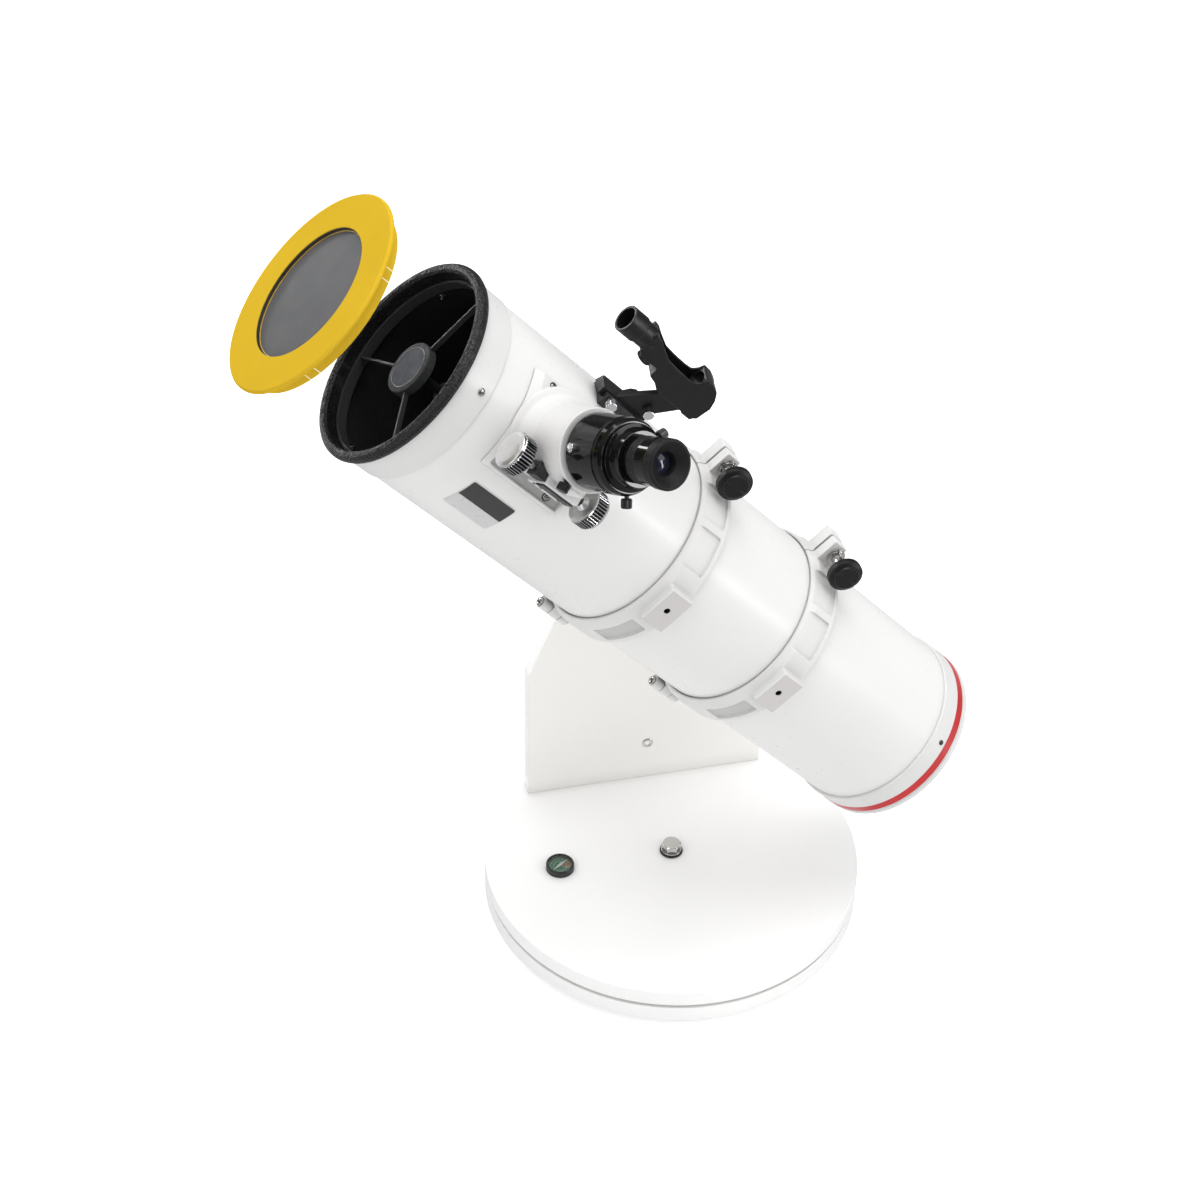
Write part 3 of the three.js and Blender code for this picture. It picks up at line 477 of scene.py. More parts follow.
def make_film():
    k = N("filter_film")
    # painted reflection: the mirror film is drawn as diffuse grey with almost no specular, lighter and darker along its
    # wrinkles
    wr = k.noise(22, 3, 0.55, dist=0.6)
    c = k.mix(k.rng(wr, 0, 1, 0.3, 0.7), (0.088, 0.089, 0.093), (0.104, 0.104, 0.107))
    nrm = k.bump(wr, 0.10, 0.004)
    nrm = k.bump(k.noise(1200, 2), 0.05, 0.0002, nrm)
    k.set(Base_Color=c, Metallic=0.0, Roughness=0.38, Normal=nrm, Specular_IOR_Level=0.02)
    return k.m


FILM = make_film()


def make_glass(name, tint=(0.85, 0.95, 0.92)):
    k = N(name)
    k.set(Base_Color=tint, Roughness=0.02, Transmission_Weight=1.0, IOR=1.45, Normal=k.bump(k.noise(500, 2), 0.01, 0.0002))
    return k.m


GLASS = make_glass("window_glass")
COATED = N("coated_lens"); COATED = COATED.set(Base_Color=COATED.mix(COATED.rng(COATED.noise(30, 2), 0, 1), (0.012, 0.02, 0.035), (0.02, 0.012, 0.03)), Roughness=0.06, Specular_IOR_Level=0.3, Coat_Weight=0.1)
DARKGLASS = plastic("finder_glass", (0.004, 0.004, 0.006), 0.2, grain=0.0, wear=0.0, spec=0.06)


def make_dial():
    """compass card: green and orange quadrants with pale tick marks"""
    k = N("compass_card")
    c = (-0.1205, 0.0, 0.0)
    x = k.dot(c, (1, 0, 0)); y = k.dot(c, (0, 1, 0))
    ang = k.mul(y, x, "ARCTAN2"); r = k.radius(c, (0, 0, 1))
    quad = k.rng(k.mul(ang, 1.0), 0, 1, -1.1, 0.9)
    col = k.ramp(quad, [(0.0, (0.05, 0.24, 0.12)), (0.28, (0.06, 0.26, 0.13)), (0.42, (0.46, 0.15, 0.04)), (0.75, (0.50, 0.19, 0.06)), (1.0, (0.05, 0.22, 0.11))])
    tick = k.mul(ang, 18.0)
    sn = k.add("ShaderNodeMath", operation="SINE")
    k.link(tick, sn.inputs[0])
    line = k.mul(k.rng(sn.outputs[0], 0, 1, 0.86, 0.93), k.mul(k.rng(r, 0, 1, 0.0088, 0.0090), k.rng(r, 1, 0, 0.0108, 0.0110)))
    ring = k.mul(k.rng(r, 0, 1, 0.0066, 0.0067), k.rng(r, 1, 0, 0.0071, 0.0072))
    col = k.mix(line, col, (0.75, 0.75, 0.7)); col = k.mix(ring, col, (0.55, 0.55, 0.5))
    speck = k.rng(k.noise(900, 3), 0, 0.5, 0.5, 0.7)
    col = k.mix(speck, col, (0.02, 0.03, 0.02))
    k.set(Base_Color=col, Roughness=0.45, Normal=k.bump(k.noise(1200), 0.05, 0.0002))
    return k.m


DIAL = make_dial()

# ---------------------------------------------------------------- shared small parts
FOCL = TUBE.inverted() @ FOC
FINL = TUBE.inverted() @ FIN


def foc(g): return at(g, FOCL)


def fin(g): return at(g, FINL)


def geo_of(me): return [tuple(v.co) for v in me.vertices], [tuple(p.vertices) for p in me.polygons]


def pan_screw(r, h):
    """domed screw head with a cross recess, standing on z = 0"""
    dome = [(0, -1.0), (r, -1.0), (r, h * 0.35)] + [(r * math.cos(a), h * 0.35 + h * 0.65 * math.sin(a)) for a in (0.3, 0.6, 0.9, 1.2)] + [(0, h)]
    me = mesh_of(lathe(dome, 40))
    q = r * 0.55; w = r * 0.12
    me = bake(me, ("cut", box(-q, q, -w, w, h * 0.35, h + 1)), ("cut", box(-w, w, -q, q, h * 0.35, h + 1)))
    return geo_of(me)


def cap_screw(r, h, hexr):
    me = mesh_of(lathe(fillet([(0, -1.0), (r, -1.0), (r, h), (0, h)], r * 0.18, 4), 48))
    me = bake(me, ("cut", prism(circ(hexr, 6), h * 0.4, h + 1)))
    return geo_of(me)


def hex_head(af, z0, z1, ch=1.2):
    me = mesh_of(prism(circ(af / math.sqrt(3), 6, 0, 0, math.pi / 6), z0, z1))
    cone = lathe([(0, z0 - 0.1), (af * 0.56, z0 - 0.1), (af * 0.585, z0 + 0.5), (af * 0.585, z1 - ch), (af * 0.5, z1), (0, z1)], 96)
    return geo_of(bake(me, ("common", cone), ("bevel", 0.25, 2)))


PAN = pan_screw(1.0, 0.55)


def pan(r, pos, axis, spin=(0.3, 0.5, 0.8)):
    return along(([(x * r, y * r, z * r) for x, y, z in PAN[0]], PAN[1]), pos, axis, spin)


CAP = cap_screw(1.0, 0.9, 0.5)


def cap(r, pos, axis, spin=(0.3, 0.5, 0.8)):
    return along(([(x * r, y * r, z * r) for x, y, z in CAP[0]], CAP[1]), pos, axis, spin)


def polar(r, phi, s): return (r * math.cos(phi * D2R), r * math.sin(phi * D2R), s)


def curved_plate(r0, r1, p0, p1, s0, s1, rc=2.0, n=20, round0=True, round1=True):
    L = r1 * (p1 - p0) * D2R
    xs = []
    k6 = [rc * (1 - math.cos(k * math.pi / 12)) for k in range(7)]
    if round0: xs += k6
    else: xs.append(0)
    xs += [rc + (L - 2 * rc) * i / n for i in range(1, n)]
    if round1: xs += [L - x for x in reversed(k6)]
    else: xs.append(L)
    rings = []
    for x in xs:
        ins = 0.0
        if round0 and x < rc: ins = rc - math.sqrt(max(0, rc * rc - (rc - x) ** 2))
        if round1 and x > L - rc: ins = max(ins, rc - math.sqrt(max(0, rc * rc - (x - L + rc) ** 2)))
        a = (p0 + x / r1 / D2R)
        rings.append([polar(r0, a, s0 + ins), polar(r0, a, s1 - ins), polar(r1, a, s1 - ins), polar(r1, a, s0 + ins)])
    return loft(rings)


# ---------------------------------------------------------------- base
flat = lambda c, n: 0 if abs(n[2]) > 0.7 else 1
piece("ground_disc", lathe(fillet([(0, 0), (197.5, 0, 1.4), (197.5, 19, 1.4), (11.4, 19), (11.4, 17), (8, 17), (8, 4), (0, 4)], 0.4, 4), 288), WHITE_BOARD, "ground_base",
      replaces=["ground_board"], mats=[WHITE_EDGE], choose=flat)
me = bake(mesh_of(lathe(fillet([(8.4, 23), (197.5, 23, 1.4), (197.5, 42, 1.4), (8.4, 42)], 0.4, 4, True), 288, True)),
          ("cut", at(rod(14.9, 38, 46, 64), Matrix.Translation((-120.5, 0, 0)))))
piece("turning_disc", me, WHITE_BOARD, "turntable", replaces=["turntable_board"], mats=[WHITE_EDGE], choose=flat)
for i, deg in enumerate((90, 210, 330)):
    T = Matrix.Translation((160 * math.cos(deg * D2R), 160 * math.sin(deg * D2R), -12))
    piece("rubber_foot_%d" % (i + 1), at(lathe(fillet([(0, 3.4), (5, 3.4), (5, 0), (14, 0, 2.0), (15.6, 9.5), (16, 11.7), (0, 11.7)], 0.6, 4), 72), T), RUBBER, "ground_base",
          replaces=["foot_%d" % (i + 1)])
    piece("foot_screw_%d" % (i + 1), at(pan(3.8, (0, 0, 3.3), (0, 0, -1)), T), STEEL, "ground_base")
    T = Matrix.Translation((150 * math.cos((deg + 60) * D2R), 150 * math.sin((deg + 60) * D2R), 0))
    piece("glide_disc_%d" % (i + 1), at(rod(13, 19.15, 22.85, 64, 0.8), T), PTFE, "ground_base", replaces=["glide_pad_%d" % (i + 1)])
piece("pivot_bolt", [rod(5, 6, 46, 40), at(pipe(4.9, 11, 44.6, 46.4, 64, 0.35), WORLD @ Matrix.Scale(1000, 4)), at(hex_head(17.5, 46.2, 54, 1.3), Matrix.Rotation(0.35, 4, "Z"))], SHANK, "ground_base",
      replaces=["azimuth_bolt"])
piece("pivot_bush", lathe(fillet([(5.5, 23.3), (8, 23.3), (8, 42.2), (12.2, 42.2), (12.2, 44.2), (5.5, 44.2)], 0.5, 4, True), 72, True), BLACKPL, "turntable", replaces=["azimuth_bushing"])

# side panel: straight, then tapering to a round head
zs, hz, hr, hw = 209.0, AXIS_H, 41.0, 130.5
dx, dz = hw, zs - hz
a0 = math.atan2(dz, dx) + math.acos(hr / math.hypot(dx, dz))
pts = [(-hw, 42.3), (hw, 42.3)] + fillet([(hw, 100), (hw, zs, 30), (hr * math.cos(a0), hz + hr * math.sin(a0))], 30, 8)[1:-1] + \
      [(hr * math.cos(a0 + (math.pi - 2 * a0) * i / 40), hz + hr * math.sin(a0 + (math.pi - 2 * a0) * i / 40)) for i in range(41)]
pts += [(-x, z) for x, z in reversed(fillet([(hw, 100), (hw, zs, 30), (hr * math.cos(a0), hz + hr * math.sin(a0))], 30, 8)[1:-1])]
XZ = Matrix(((1, 0, 0, 0), (0, 0, -1, 134.5), (0, 1, 0, 0), (0, 0, 0, 1)))
me = bake(mesh_of(at(prism(pts, 0, 18), XZ)), ("cut", along(rod(8.6, -2, 22, 64), (0, 134.5, hz), (0, -1, 0))), ("bevel", 0.9, 3))
piece("panel_board", me, PANEL_WHITE, "turntable", replaces=["side_panel"], mats=[WHITE_EDGE], choose=lambda c, n: 0 if abs(n[1]) > 0.7 else 1)
YZ = Matrix(((0, 0, 1, 0), (1, 0, 0, 0), (0, 1, 0, 0), (0, 0, 0, 1)))
me = bake(mesh_of(at(prism(fillet([(134.8, 42.3, 0), (188.8, 42.3, 0), (188.8, 82.3, 14), (156.8, 342.3, 8), (134.8, 342.3, 0)], 0, 6), -9, 9), YZ)), ("bevel", 0.9, 3))
piece("brace_board", me, PANEL_WHITE, "turntable", replaces=["panel_brace"], mats=[WHITE_EDGE], choose=lambda c, n: 0 if abs(n[0]) > 0.7 else 1)
# screw with a pale cap ring low in the panel
for i, z in enumerate((91.6,)):
    piece("panel_screw_rim_%d" % (i + 1), along(lathe(fillet([(2.6, -0.6), (6.2, -0.6), (6.2, 0.25), (5.4, 0.8), (3.1, 0.3), (2.6, -0.3)], 0.25, 3, True), 56, True), (2, 116.5, z), (0, -1, 0)), SHANK, "turntable")
    piece("panel_screw_core_%d" % (i + 1), along(lathe([(0, -0.6), (2.7, -0.6), (2.7, -0.1), (1.4, -0.1), (1.2, -0.5), (0, -0.5)], 32), (2, 116.5, z), (0, -1, 0)), SOCKET, "turntable")

# compass
T = Matrix.Translation((-120.5, 0, 0))
piece("compass_bezel", at(lathe(fillet([(0, 38.3), (14.2, 38.3), (14.2, 42.4), (14.8, 42.8), (14.8, 48, 0.8), (13.9, 49, 0.4), (12.6, 49, 0.3), (12.6, 43.6), (1, 43.6), (0.6, 45.4), (0, 45.4)], 0.3, 4), 96), T), BLACKPL, "turntable",
      replaces=["compass_case"])
piece("compass_card", at(lathe(fillet([(1.1, 43.62), (12.45, 43.62), (12.45, 43.9), (1.1, 43.9)], 0.05, 2, True), 96, True), T), DIAL, "turntable")
nd = Matrix.Rotation(0.62, 4, "Z")
me = bake(mesh_of(prism([(-10.5, 0), (-1.6, -1.5), (1.6, -1.5), (10.5, 0), (1.6, 1.5), (-1.6, 1.5)], 45.85, 46.4)), ("bevel", 0.12, 2))
me.transform(T @ nd)
piece("compass_pointer", me, paint("needle_white", (0.85, 0.85, 0.82), 0.4, ao=0.1), "needle", replaces=["compass_needle"], mats=[paint("needle_red", (0.55, 0.03, 0.02), 0.4, ao=0.1)],
      choose=lambda c, n: 0)
piece("compass_lens", at(lathe(fillet([(0, 47.2), (12.3, 47.2), (12.3, 48.35), (0, 48.4)], 0.25, 3), 96), T), GLASS, "turntable", replaces=["compass_glass"])

# ---------------------------------------------------------------- altitude bearing, saddle, bar
piece("friction_disc", along(pipe(15, 34, 0, 2.7, 96, 0.3), (-148.2, 0, 0), (1, 0, 0)), PTFE, "turntable", M=TUBE, replaces=["altitude_friction_pad"])
piece("hub_flange", [along(lathe(fillet([(0, 0), (36, 0), (36, 8), (0, 8)], 0.9, 4), 128), (-145.1, 0, 0), (1, 0, 0)),
                     along(lathe(fillet([(0, -1), (8, -1), (8, 21), (5, 21), (5, 40), (0, 40)], 0.6, 3), 64), (-145.1, 0, 0), (-1, 0, 0))], ANODM, "altitude_head", M=TUBE, replaces=["altitude_hub"])
body = knurled(fillet([(5.6, 7.9), (20, 7.9, 1.5), (22, 9.5, 1.5), (22, 19, 2), (20, 21, 1.2), (0.001, 21)], 1.0, 4), 7, 3.0, 18)
me = bake(mesh_of(merge([body])), ("join", lathe(fillet([(0, 0.3), (14, 0.3), (14, 9), (0, 9)], 0.8, 3), 96)), ("cut", rod(5.4, -1, 18.5, 40)), ("remesh", 0.5), ("smooth", 0.5, 2))
piece("tension_knob", along(geo_of(me), (-166.5, 0, 0), (-1, 0, 0)), KNOBPL, "altitude_knob", M=TUBE, replaces=["altitude_tension_knob"])
me = bake(mesh_of(prism(fillet([(-136.8, -32), (-136.8, 32), (-110.3, 32), (-110.3, 21.2), (-120.8, 24.2), (-120.8, -24.2), (-110.3, -21.2), (-110.3, -32)], 0.7, 3, True), -40, 40)),
          ("cut", along(rod(4.4, 0, 24, 40), (-115.5, -12, 0), (0, -1, 0))), ("bevel", 0.6, 2))
piece("saddle_block", me, ANODM, "altitude_head", M=TUBE, replaces=["dovetail_saddle"])
for i, (y, s) in enumerate(((-16, 24), (16, 24), (-16, -24), (16, -24))):
    piece("saddle_screw_%d" % (i + 1), cap(4.2, (-120.9, y, s), (1, 0, 0)), STEEL, "altitude_head", M=TUBE)
kb = bake(mesh_of(knurled(fillet([(0.001, 0), (14, 0, 1.4), (14, 14, 2.2), (9, 14, 0.6), (8.4, 13.2), (0.001, 13.2)], 1.0, 4), 6, 2.4, 18)), ("smooth", 0.3, 1))
piece("saddle_knob_grip", [along(geo_of(kb), (-115.5, -37.5, 0), (0, -1, 0)), along(rod(8, 0, 4, 48, 0.6), (-115.5, -34, 0), (0, -1, 0))], KNOBPL, "saddle_knob", M=TUBE, replaces=["saddle_clamp_knob"])
piece("saddle_knob_screw", along(rod(4, 0, 15, 40), (-115.5, -22.8, 0), (0, -1, 0)), STEEL, "saddle_knob", M=TUBE)
me = mesh_of(prism([(-105.3, -18.5), (-105.3, 18.5), (-120.3, 22), (-120.3, -22)], -98, 115))
st = []
for s in (89, -72):
    st += [("cut", along(rod(3.6, -1, 17, 40), (-104.3, 0, s - 4), (-1, 0, 0))), ("cut", along(rod(6.2, 0, 7, 48), (-114.3, 0, s - 4), (-1, 0, 0)))]
me = bake(me, *st, ("bevel", 0.7, 3))
piece("dovetail_plate", me, ANODM, "cradle", M=TUBE, replaces=["dovetail_bar"])
for i, s in enumerate((89, -72)):
    piece("bar_screw_%d" % (i + 1), [cap(5.6, (-115.5, 0, s - 4), (-1, 0, 0)), along(rod(3.0, 0, 18, 32), (-97.5, 0, s - 4), (-1, 0, 0))], STEEL, "cradle", M=TUBE)

# ---------------------------------------------------------------- tube rings
RV = 0.6
ring_prof = [(90.4, -18), (98, -18), (98, 9), (94, 18), (90.4, 18)]
PK = [(23, 46.5), (51.5, 74), (-46, -18)]


def arc_block(r0, r1, a0, a1, z0, z1, n=14):
    p = [(r1 * math.cos((a0 + (a1 - a0) * i / n) * D2R), r1 * math.sin((a0 + (a1 - a0) * i / n) * D2R)) for i in range(n + 1)]
    p += [(r0 * math.cos((a0 + (a1 - a0) * i / n) * D2R), r0 * math.sin((a0 + (a1 - a0) * i / n) * D2R)) for i in range(n, -1, -1)]
    return prism(p, z0, z1)


EARX = Matrix(((0, 0, 1, 0), (1, 0, 0, 0), (0, 1, 0, 0), (0, 0, 0, 1)))      # drawn in (Y, s), pushed along X
ear_pts = fillet([(88, -11), (99, -11, 2), (103, -7, 1.5), (121.6, -6.5, 1.6), (121.6, 10.8, 1.6), (88, 10.8)], 1.2, 5)
for k, s in enumerate((89, -72)):
    bs, kx = (0, -2.5)[k], (31, 35)[k]
    full = lathe(ring_prof, 180, True)
    S = Matrix.Translation((0, 0, s))
    me = bake(mesh_of(full), ("common", box(-130, -0.4, -130, 130, -30, 30)),
              ("join", box(-105, -90, -19, 19, -18, 10)),
              ("join", at(prism(ear_pts, -16, -1.4), EARX)),
              ("join", merge([box(-6, -0.4, -105, -92, -17.8, -6.8)])), ("join", box(-6, -0.4, -105, -92, 6.8, 17.8)),
              ("join", at(rod(6, -17.8, -6.8, 48), Matrix.Translation((0, -105, 0)))), ("join", at(rod(6, 6.8, 17.8, 48), Matrix.Translation((0, -105, 0)))),
              ("cut", rod(91.6, -40, 40, 180)), ("cut", at(rod(2.9, -40, 40, 32), Matrix.Translation((0, -105, 0)))),
              ("cut", along(rod(4.9, 0, 30, 32), (5, 110, bs), (-1, 0, 0))), ("cut", along(rod(3.2, 0, 11, 32), (-106, 0, -4), (1, 0, 0))),
              ("cut", box(-0.2, 20, -112, -80, -6.6, 6.6)),
              *[("cut", arc_block(95.6, 106, 180 - b, 180 - a, -13, 6 if a < 0 else 16)) for a, b in PK],
              ("remesh", RV), ("smooth", 0.5, 4))
    me.transform(S)
    piece("ring_%d_rear_casting" % (k + 1), me, CAST, "cradle", M=TUBE, replaces=["ring_%d_rear" % (k + 1)], angle=60)
    me = bake(mesh_of(full), ("common", box(0.4, 130, -130, 130, -30, 30)),
              ("join", box(90, 105, -19.5, 19.5, -18, 9)),
              ("join", at(prism(ear_pts, 1.0, 12), EARX)),
              ("join", box(0.4, 6, -105, -92, -6.4, 6.4)), ("join", at(rod(6, -6.4, 6.4, 48), Matrix.Translation((0, -105, 0)))),
              ("cut", rod(91.6, -40, 40, 180)), ("cut", at(rod(2.9, -40, 40, 32), Matrix.Translation((0, -105, 0)))),
              ("cut", along(rod(4.2, 0, 30, 32), (-5, 110, bs), (1, 0, 0))), ("cut", along(rod(3, 0, 14, 32), (106, 0, -4), (-1, 0, 0))),
              *[("cut", arc_block(95.6, 106, a, b, -13, 6 if a < 0 else 16)) for a, b in PK],
              ("remesh", RV), ("smooth", 0.5, 4))
    me.transform(S)
    # material slots: the bolt hole walls get flat black as painted shade, the pad face its pad colour, and the lower
    # pocket floors the greyer pocket colour as painted shade
    piece("ring_%d_front_casting" % (k + 1), me, CAST, "ring_%d_half" % (k + 1), M=TUBE, replaces=["ring_%d_front" % (k + 1)], mats=[PAD, FLAT_BLACK, POCKET_SHADE], angle=60,
          choose=lambda c, n, s=s: (2 if (c[0] < 104.2 and c[0] > 91.7 and math.hypot(c[1], c[2] - s + 4) < 3.5) else (1 if (n[0] > 0.9 and c[0] > 104.5) else
                                    (3 if (95.0 < math.hypot(c[0], c[1]) < 96.1 and -12.4 < c[2] - s < 5.4 and -45.4 < math.degrees(math.atan2(c[1], c[0])) < -18.6) else 0))))
    piece("ring_%d_hinge_pin" % (k + 1), [at(rod(2.5, s - 19, s + 19, 32), Matrix.Translation((0, -105, 0))), pan(4.4, (0, -105, s + 18.6), (0, 0, 1)), pan(4.0, (0, -105, s - 18.2), (0, 0, -1))],
          STEEL, "cradle", M=TUBE, replaces=["ring_%d_pin" % (k + 1)])
    grip = lathe(fillet([(0, 0.6), (5, 0.6), (5.6, 0), (14.3, 0, 0.8), (16.6, 1.8, 1.0), (16.6, 8, 1.4), (13.2, 9.6, 0.8), (12.4, 9.9, 0.3), (11.6, 11.8, 0.8), (10.4, 12, 0.3), (0, 12)], 0.5, 4), 96)
    piece("ring_%d_clamp_grip" % (k + 1), along(grip, (kx, 110, s + bs), (1, 0, 0)), KNOBPL, "ring_%d_clamp" % (k + 1), M=TUBE, replaces=["ring_%d_knob" % (k + 1)])
    piece("ring_%d_clamp_shank" % (k + 1), [along(rod(3, 0, kx + 12, 32), (-13, 110, s + bs), (1, 0, 0)), along(lathe(fillet([(0, 0), (5.4, 0), (5.4, kx - 16.5), (4.4, kx - 14.9), (0, kx - 14.9)], 0.5, 3), 56), (14.9, 110, s + bs), (1, 0, 0)),
           along(lathe(fillet([(0, 0), (9.0, 0), (9.0, 1.4), (0, 1.4)], 0.35, 3), 56), (12.3, 110, s + bs), (1, 0, 0)), along(lathe(fillet([(0, 0), (7.6, 0), (7.6, 1.5), (0, 1.5)], 0.35, 3), 56), (13.7, 110, s + bs), (1, 0, 0))],
          SHANK, "ring_%d_clamp" % (k + 1), M=TUBE)

# ---------------------------------------------------------------- optical tube and its ends
me = bake(mesh_of(lathe([(89.8, -305), (91, -305), (91, 384), (89.8, 384)], 240, True)), ("cut", foc(rod(31.5, 70, 110, 96))))
piece("tube_shell", me, ENAMEL, "tube_assembly", M=TUBE, replaces=["optical_tube"], mats=[FLAT_BLACK], choose=lambda c, n: 1 if (n[0] * c[0] + n[1] * c[1]) < -1 else 0)
piece("front_band", lathe(fillet([(91.05, 355), (92.5, 355, 0.5), (92.5, 384), (91.05, 384)], 0.2, 4, True), 240, True), COLLAR, "tube_assembly", M=TUBE, replaces=["front_collar"])
piece("rim_moulding", lathe(fillet([(87.8, 370), (87.8, 392.4, 1), (89.5, 394.8, 1.5), (92.2, 395.8, 2), (95, 394.8, 2), (97, 392.2, 2), (97.3, 389, 2), (96.2, 386, 1.5), (93.2, 384.3, 0.6), (89.4, 384.3, 0.2), (89.4, 370)], 0.5, 5, True), 240, True),
      RIMPL, "tube_assembly", M=TUBE, replaces=["front_rim"])
ring_g = lathe(fillet([(84.6, 372.6), (87.4, 372.6), (87.4, 382.4), (84.6, 382.4)], 0.4, 3, True), 200, True)
vanes = [at(geo_of(bake(mesh_of(box(20, 85.2, -1.1, 1.1, 375.8, 380.6)), ("bevel", 0.4, 2))), Matrix.Rotation(d * D2R, 4, "Z")) for d in (91, 211, 331)]
piece("spider_frame", [ring_g] + vanes, VANE, "tube_assembly", M=TUBE, replaces=["spider"])
piece("spider_hub", lathe(fillet([(0, 374), (24.6, 374, 0.8), (24.6, 382.6, 1.2), (19.8, 383.0, 0.4), (19.4, 381.9), (0, 381.9)], 0.3, 4), 128), HUBRING, "tube_assembly", M=TUBE)
piece("spider_hub_disc", lathe(fillet([(0, 381.7), (18.9, 381.7), (18.9, 382.7, 0.5), (0, 382.9)], 0.2, 4), 128), HUBDISC, "tube_assembly", M=TUBE)
piece("spider_hub_line", lathe(fillet([(18.95, 382.2), (19.5, 382.2), (19.5, 383.05), (18.95, 383.05)], 0.12, 2, True), 128, True), HUBLINE, "tube_assembly", M=TUBE)
SC = [31.3, 151, 271]
piece("front_band_screws", [pan(3.3, polar(92.5, a, 364.3), polar(1, a, 0)) for a in SC], STEEL, "tube_assembly", M=TUBE)
piece("front_band_nuts", [along(merge([hex_head(5.5, -0.2, 2.4, 0.4), rod(1.4, 2, 4.2, 20, 0.3)]), polar(89.9, a, 364.3), [-x for x in polar(1, a, 0)]) for a in SC], STEEL, "tube_assembly", M=TUBE)
piece("rear_band", lathe(fillet([(91.05, -305), (93.8, -305), (93.8, -275, 1.2), (91.05, -275)], 0.2, 4, True), 240, True), COLLAR, "tube_assembly", M=TUBE, replaces=["rear_collar"])
piece("rear_stripe", lathe(fillet([(93.7, -303.4), (94.05, -303.4), (94.05, -295.0), (93.7, -295.0)], 0.12, 2, True), 240, True), RED, "tube_assembly", M=TUBE)
piece("rear_band_screws", [pan(2.5, polar(93.8, a, -289), polar(1, a, 0)) for a in (32, 152, 272)], ANODM, "tube_assembly", M=TUBE)
cell = [(0, -309), (84, -309, 0.8), (86, -312, 0.8), (92.5, -312, 1.0), (94, -310.5, 0.8), (94, -305.4), (89.3, -305.4), (89.3, -294), (86.5, -294), (86.5, -305), (0, -305)]
st = [("cut", at(rod(2.9, -330, -301, 32), Matrix.Translation((58 * math.cos(d * D2R), 58 * math.sin(d * D2R), 0)))) for d in (90, 210, 330)]
piece("rear_cell_casting", bake(mesh_of(lathe(fillet(cell, 0.3, 4), 200)), *st), COLLAR, "tube_assembly", M=TUBE, replaces=["rear_cell"])
ribs = []
for d in (30, 150, 270):
    ribs.append(at(geo_of(bake(mesh_of(box(16, 80, -3, 3, -311, -308.5)), ("bevel", 0.8, 3))), Matrix.Rotation(d * D2R, 4, "Z")))
piece("rear_cell_ribs", ribs + [lathe(fillet([(12, -308.5), (12, -311, 0.8), (18, -311, 0.8), (18, -308.5)], 0.3, 3, True), 96, True), pipe(66, 80, -288, -280, 96)] +
      [at(rod(5, -306, -286, 32), Matrix.Translation((71 * math.cos(d * D2R), 62 * math.sin(d * D2R), 0))) for d in (30, 150, 270)], CAST, "tube_assembly", M=TUBE)
piece("rear_lock_screws", [pan(3.6, polar(58, d + 22, -309), (0, 0, -1)) for d in (90, 210, 330)], STEEL, "tube_assembly", M=TUBE)
for i, d in enumerate((90, 210, 330)):
    kn = knurled(fillet([(0.001, -321), (9.5, -321, 1.4), (9.5, -312.5, 0.8), (0.001, -312.5)], 0.6, 4), 30, 0.5, 6, -320, -313.2)
    piece("collimation_grip_%d" % (i + 1), [at(kn, Matrix.Translation((58 * math.cos(d * D2R), 58 * math.sin(d * D2R), 0))), at(rod(2.5, -313, -303, 24), Matrix.Translation((58 * math.cos(d * D2R), 58 * math.sin(d * D2R), 0)))],
          CHROME, "collimator_%d" % (i + 1), M=TUBE, replaces=["collimation_knob_%d" % (i + 1)])
piece("primary_disc", lathe(fillet([(0, -279.6), (76, -279.6), (76, -261.2), (75.2, -260.3), (38, -261.4), (0, -261.8)], 0.4, 3), 160), MIRROR, "tube_assembly", M=TUBE, replaces=["primary_mirror"])
piece("label_base", curved_plate(91.02, 91.35, -32.1, -7.9, 262.4, 313.1, 2.6), LABEL_RIM, "tube_assembly", M=TUBE)
piece("label_dark_half", curved_plate(91.2, 91.55, -20.4, -8.5, 263.1, 312.4, 2.0, round0=False), LABEL_DARK, "tube_assembly", M=TUBE)
piece("label_silver_half", curved_plate(91.2, 91.52, -31.5, -20.4, 263.1, 312.4, 2.0, round1=False), LABEL_SILVER, "tube_assembly", M=TUBE)

# ---------------------------------------------------------------- focuser
FV = 0.55
ROT = Matrix.Rotation(33.5 * D2R, 4, "Z")
slab = geo_of(bake(mesh_of(lathe([(0, -43), (92.8, -43), (97, -39.6), (97, 38), (92.4, 46), (0, 46)], 240)), ("common", box(60, 120, -47.5, 44.5, -60, 60))))
slab = at(slab, Matrix.Translation((0, 0, 278)) @ ROT)
flare = lathe(fillet([(0, 84), (47, 84), (47, 94.2, 2.0), (41.5, 97, 4), (37.2, 102.4, 5), (35, 110, 4), (34.6, 146), (35.2, 147.5), (35.2, 150, 0.6), (0, 150)], 1.0, 5), 144)
DIP = Matrix.Rotation(-24.7 * D2R, 4, "Y")
me = bake(mesh_of(slab), ("join", foc(geo_of(bake(mesh_of(flare), ("cut", box(-60, -35.6, -60, 60, 70, 99.6)))))), ("cut", foc(at(box(-5.6, 5.2, -38, 41, 94.6, 98.8), DIP))),
          ("join", foc(box(-41, -20, -27, 11, 99.5, 127))), ("join", foc(at(rod(7.5, 0, 16, 48, 1.0), Matrix.Translation((-31, -6, 132))))), ("join", foc(box(-38, -24, -14, 2, 120, 147.6))),
          ("cut", rod(91.4, 150, 400, 240)), ("cut", foc(rod(27.8, 70, 160, 96))), ("cut", foc(box(-30, -20, -5.2, 5.2, 70, 152))),
          ("cut", foc(along(rod(5.2, -40, 40, 48), (-33.5, 0, 118), (0, 1, 0)))), ("cut", foc(along(rod(2.6, 0, 20, 32), (-20, 6.7, 145), (-1, 0, 0)))),
          ("remesh", FV), ("smooth", 0.5, 2))
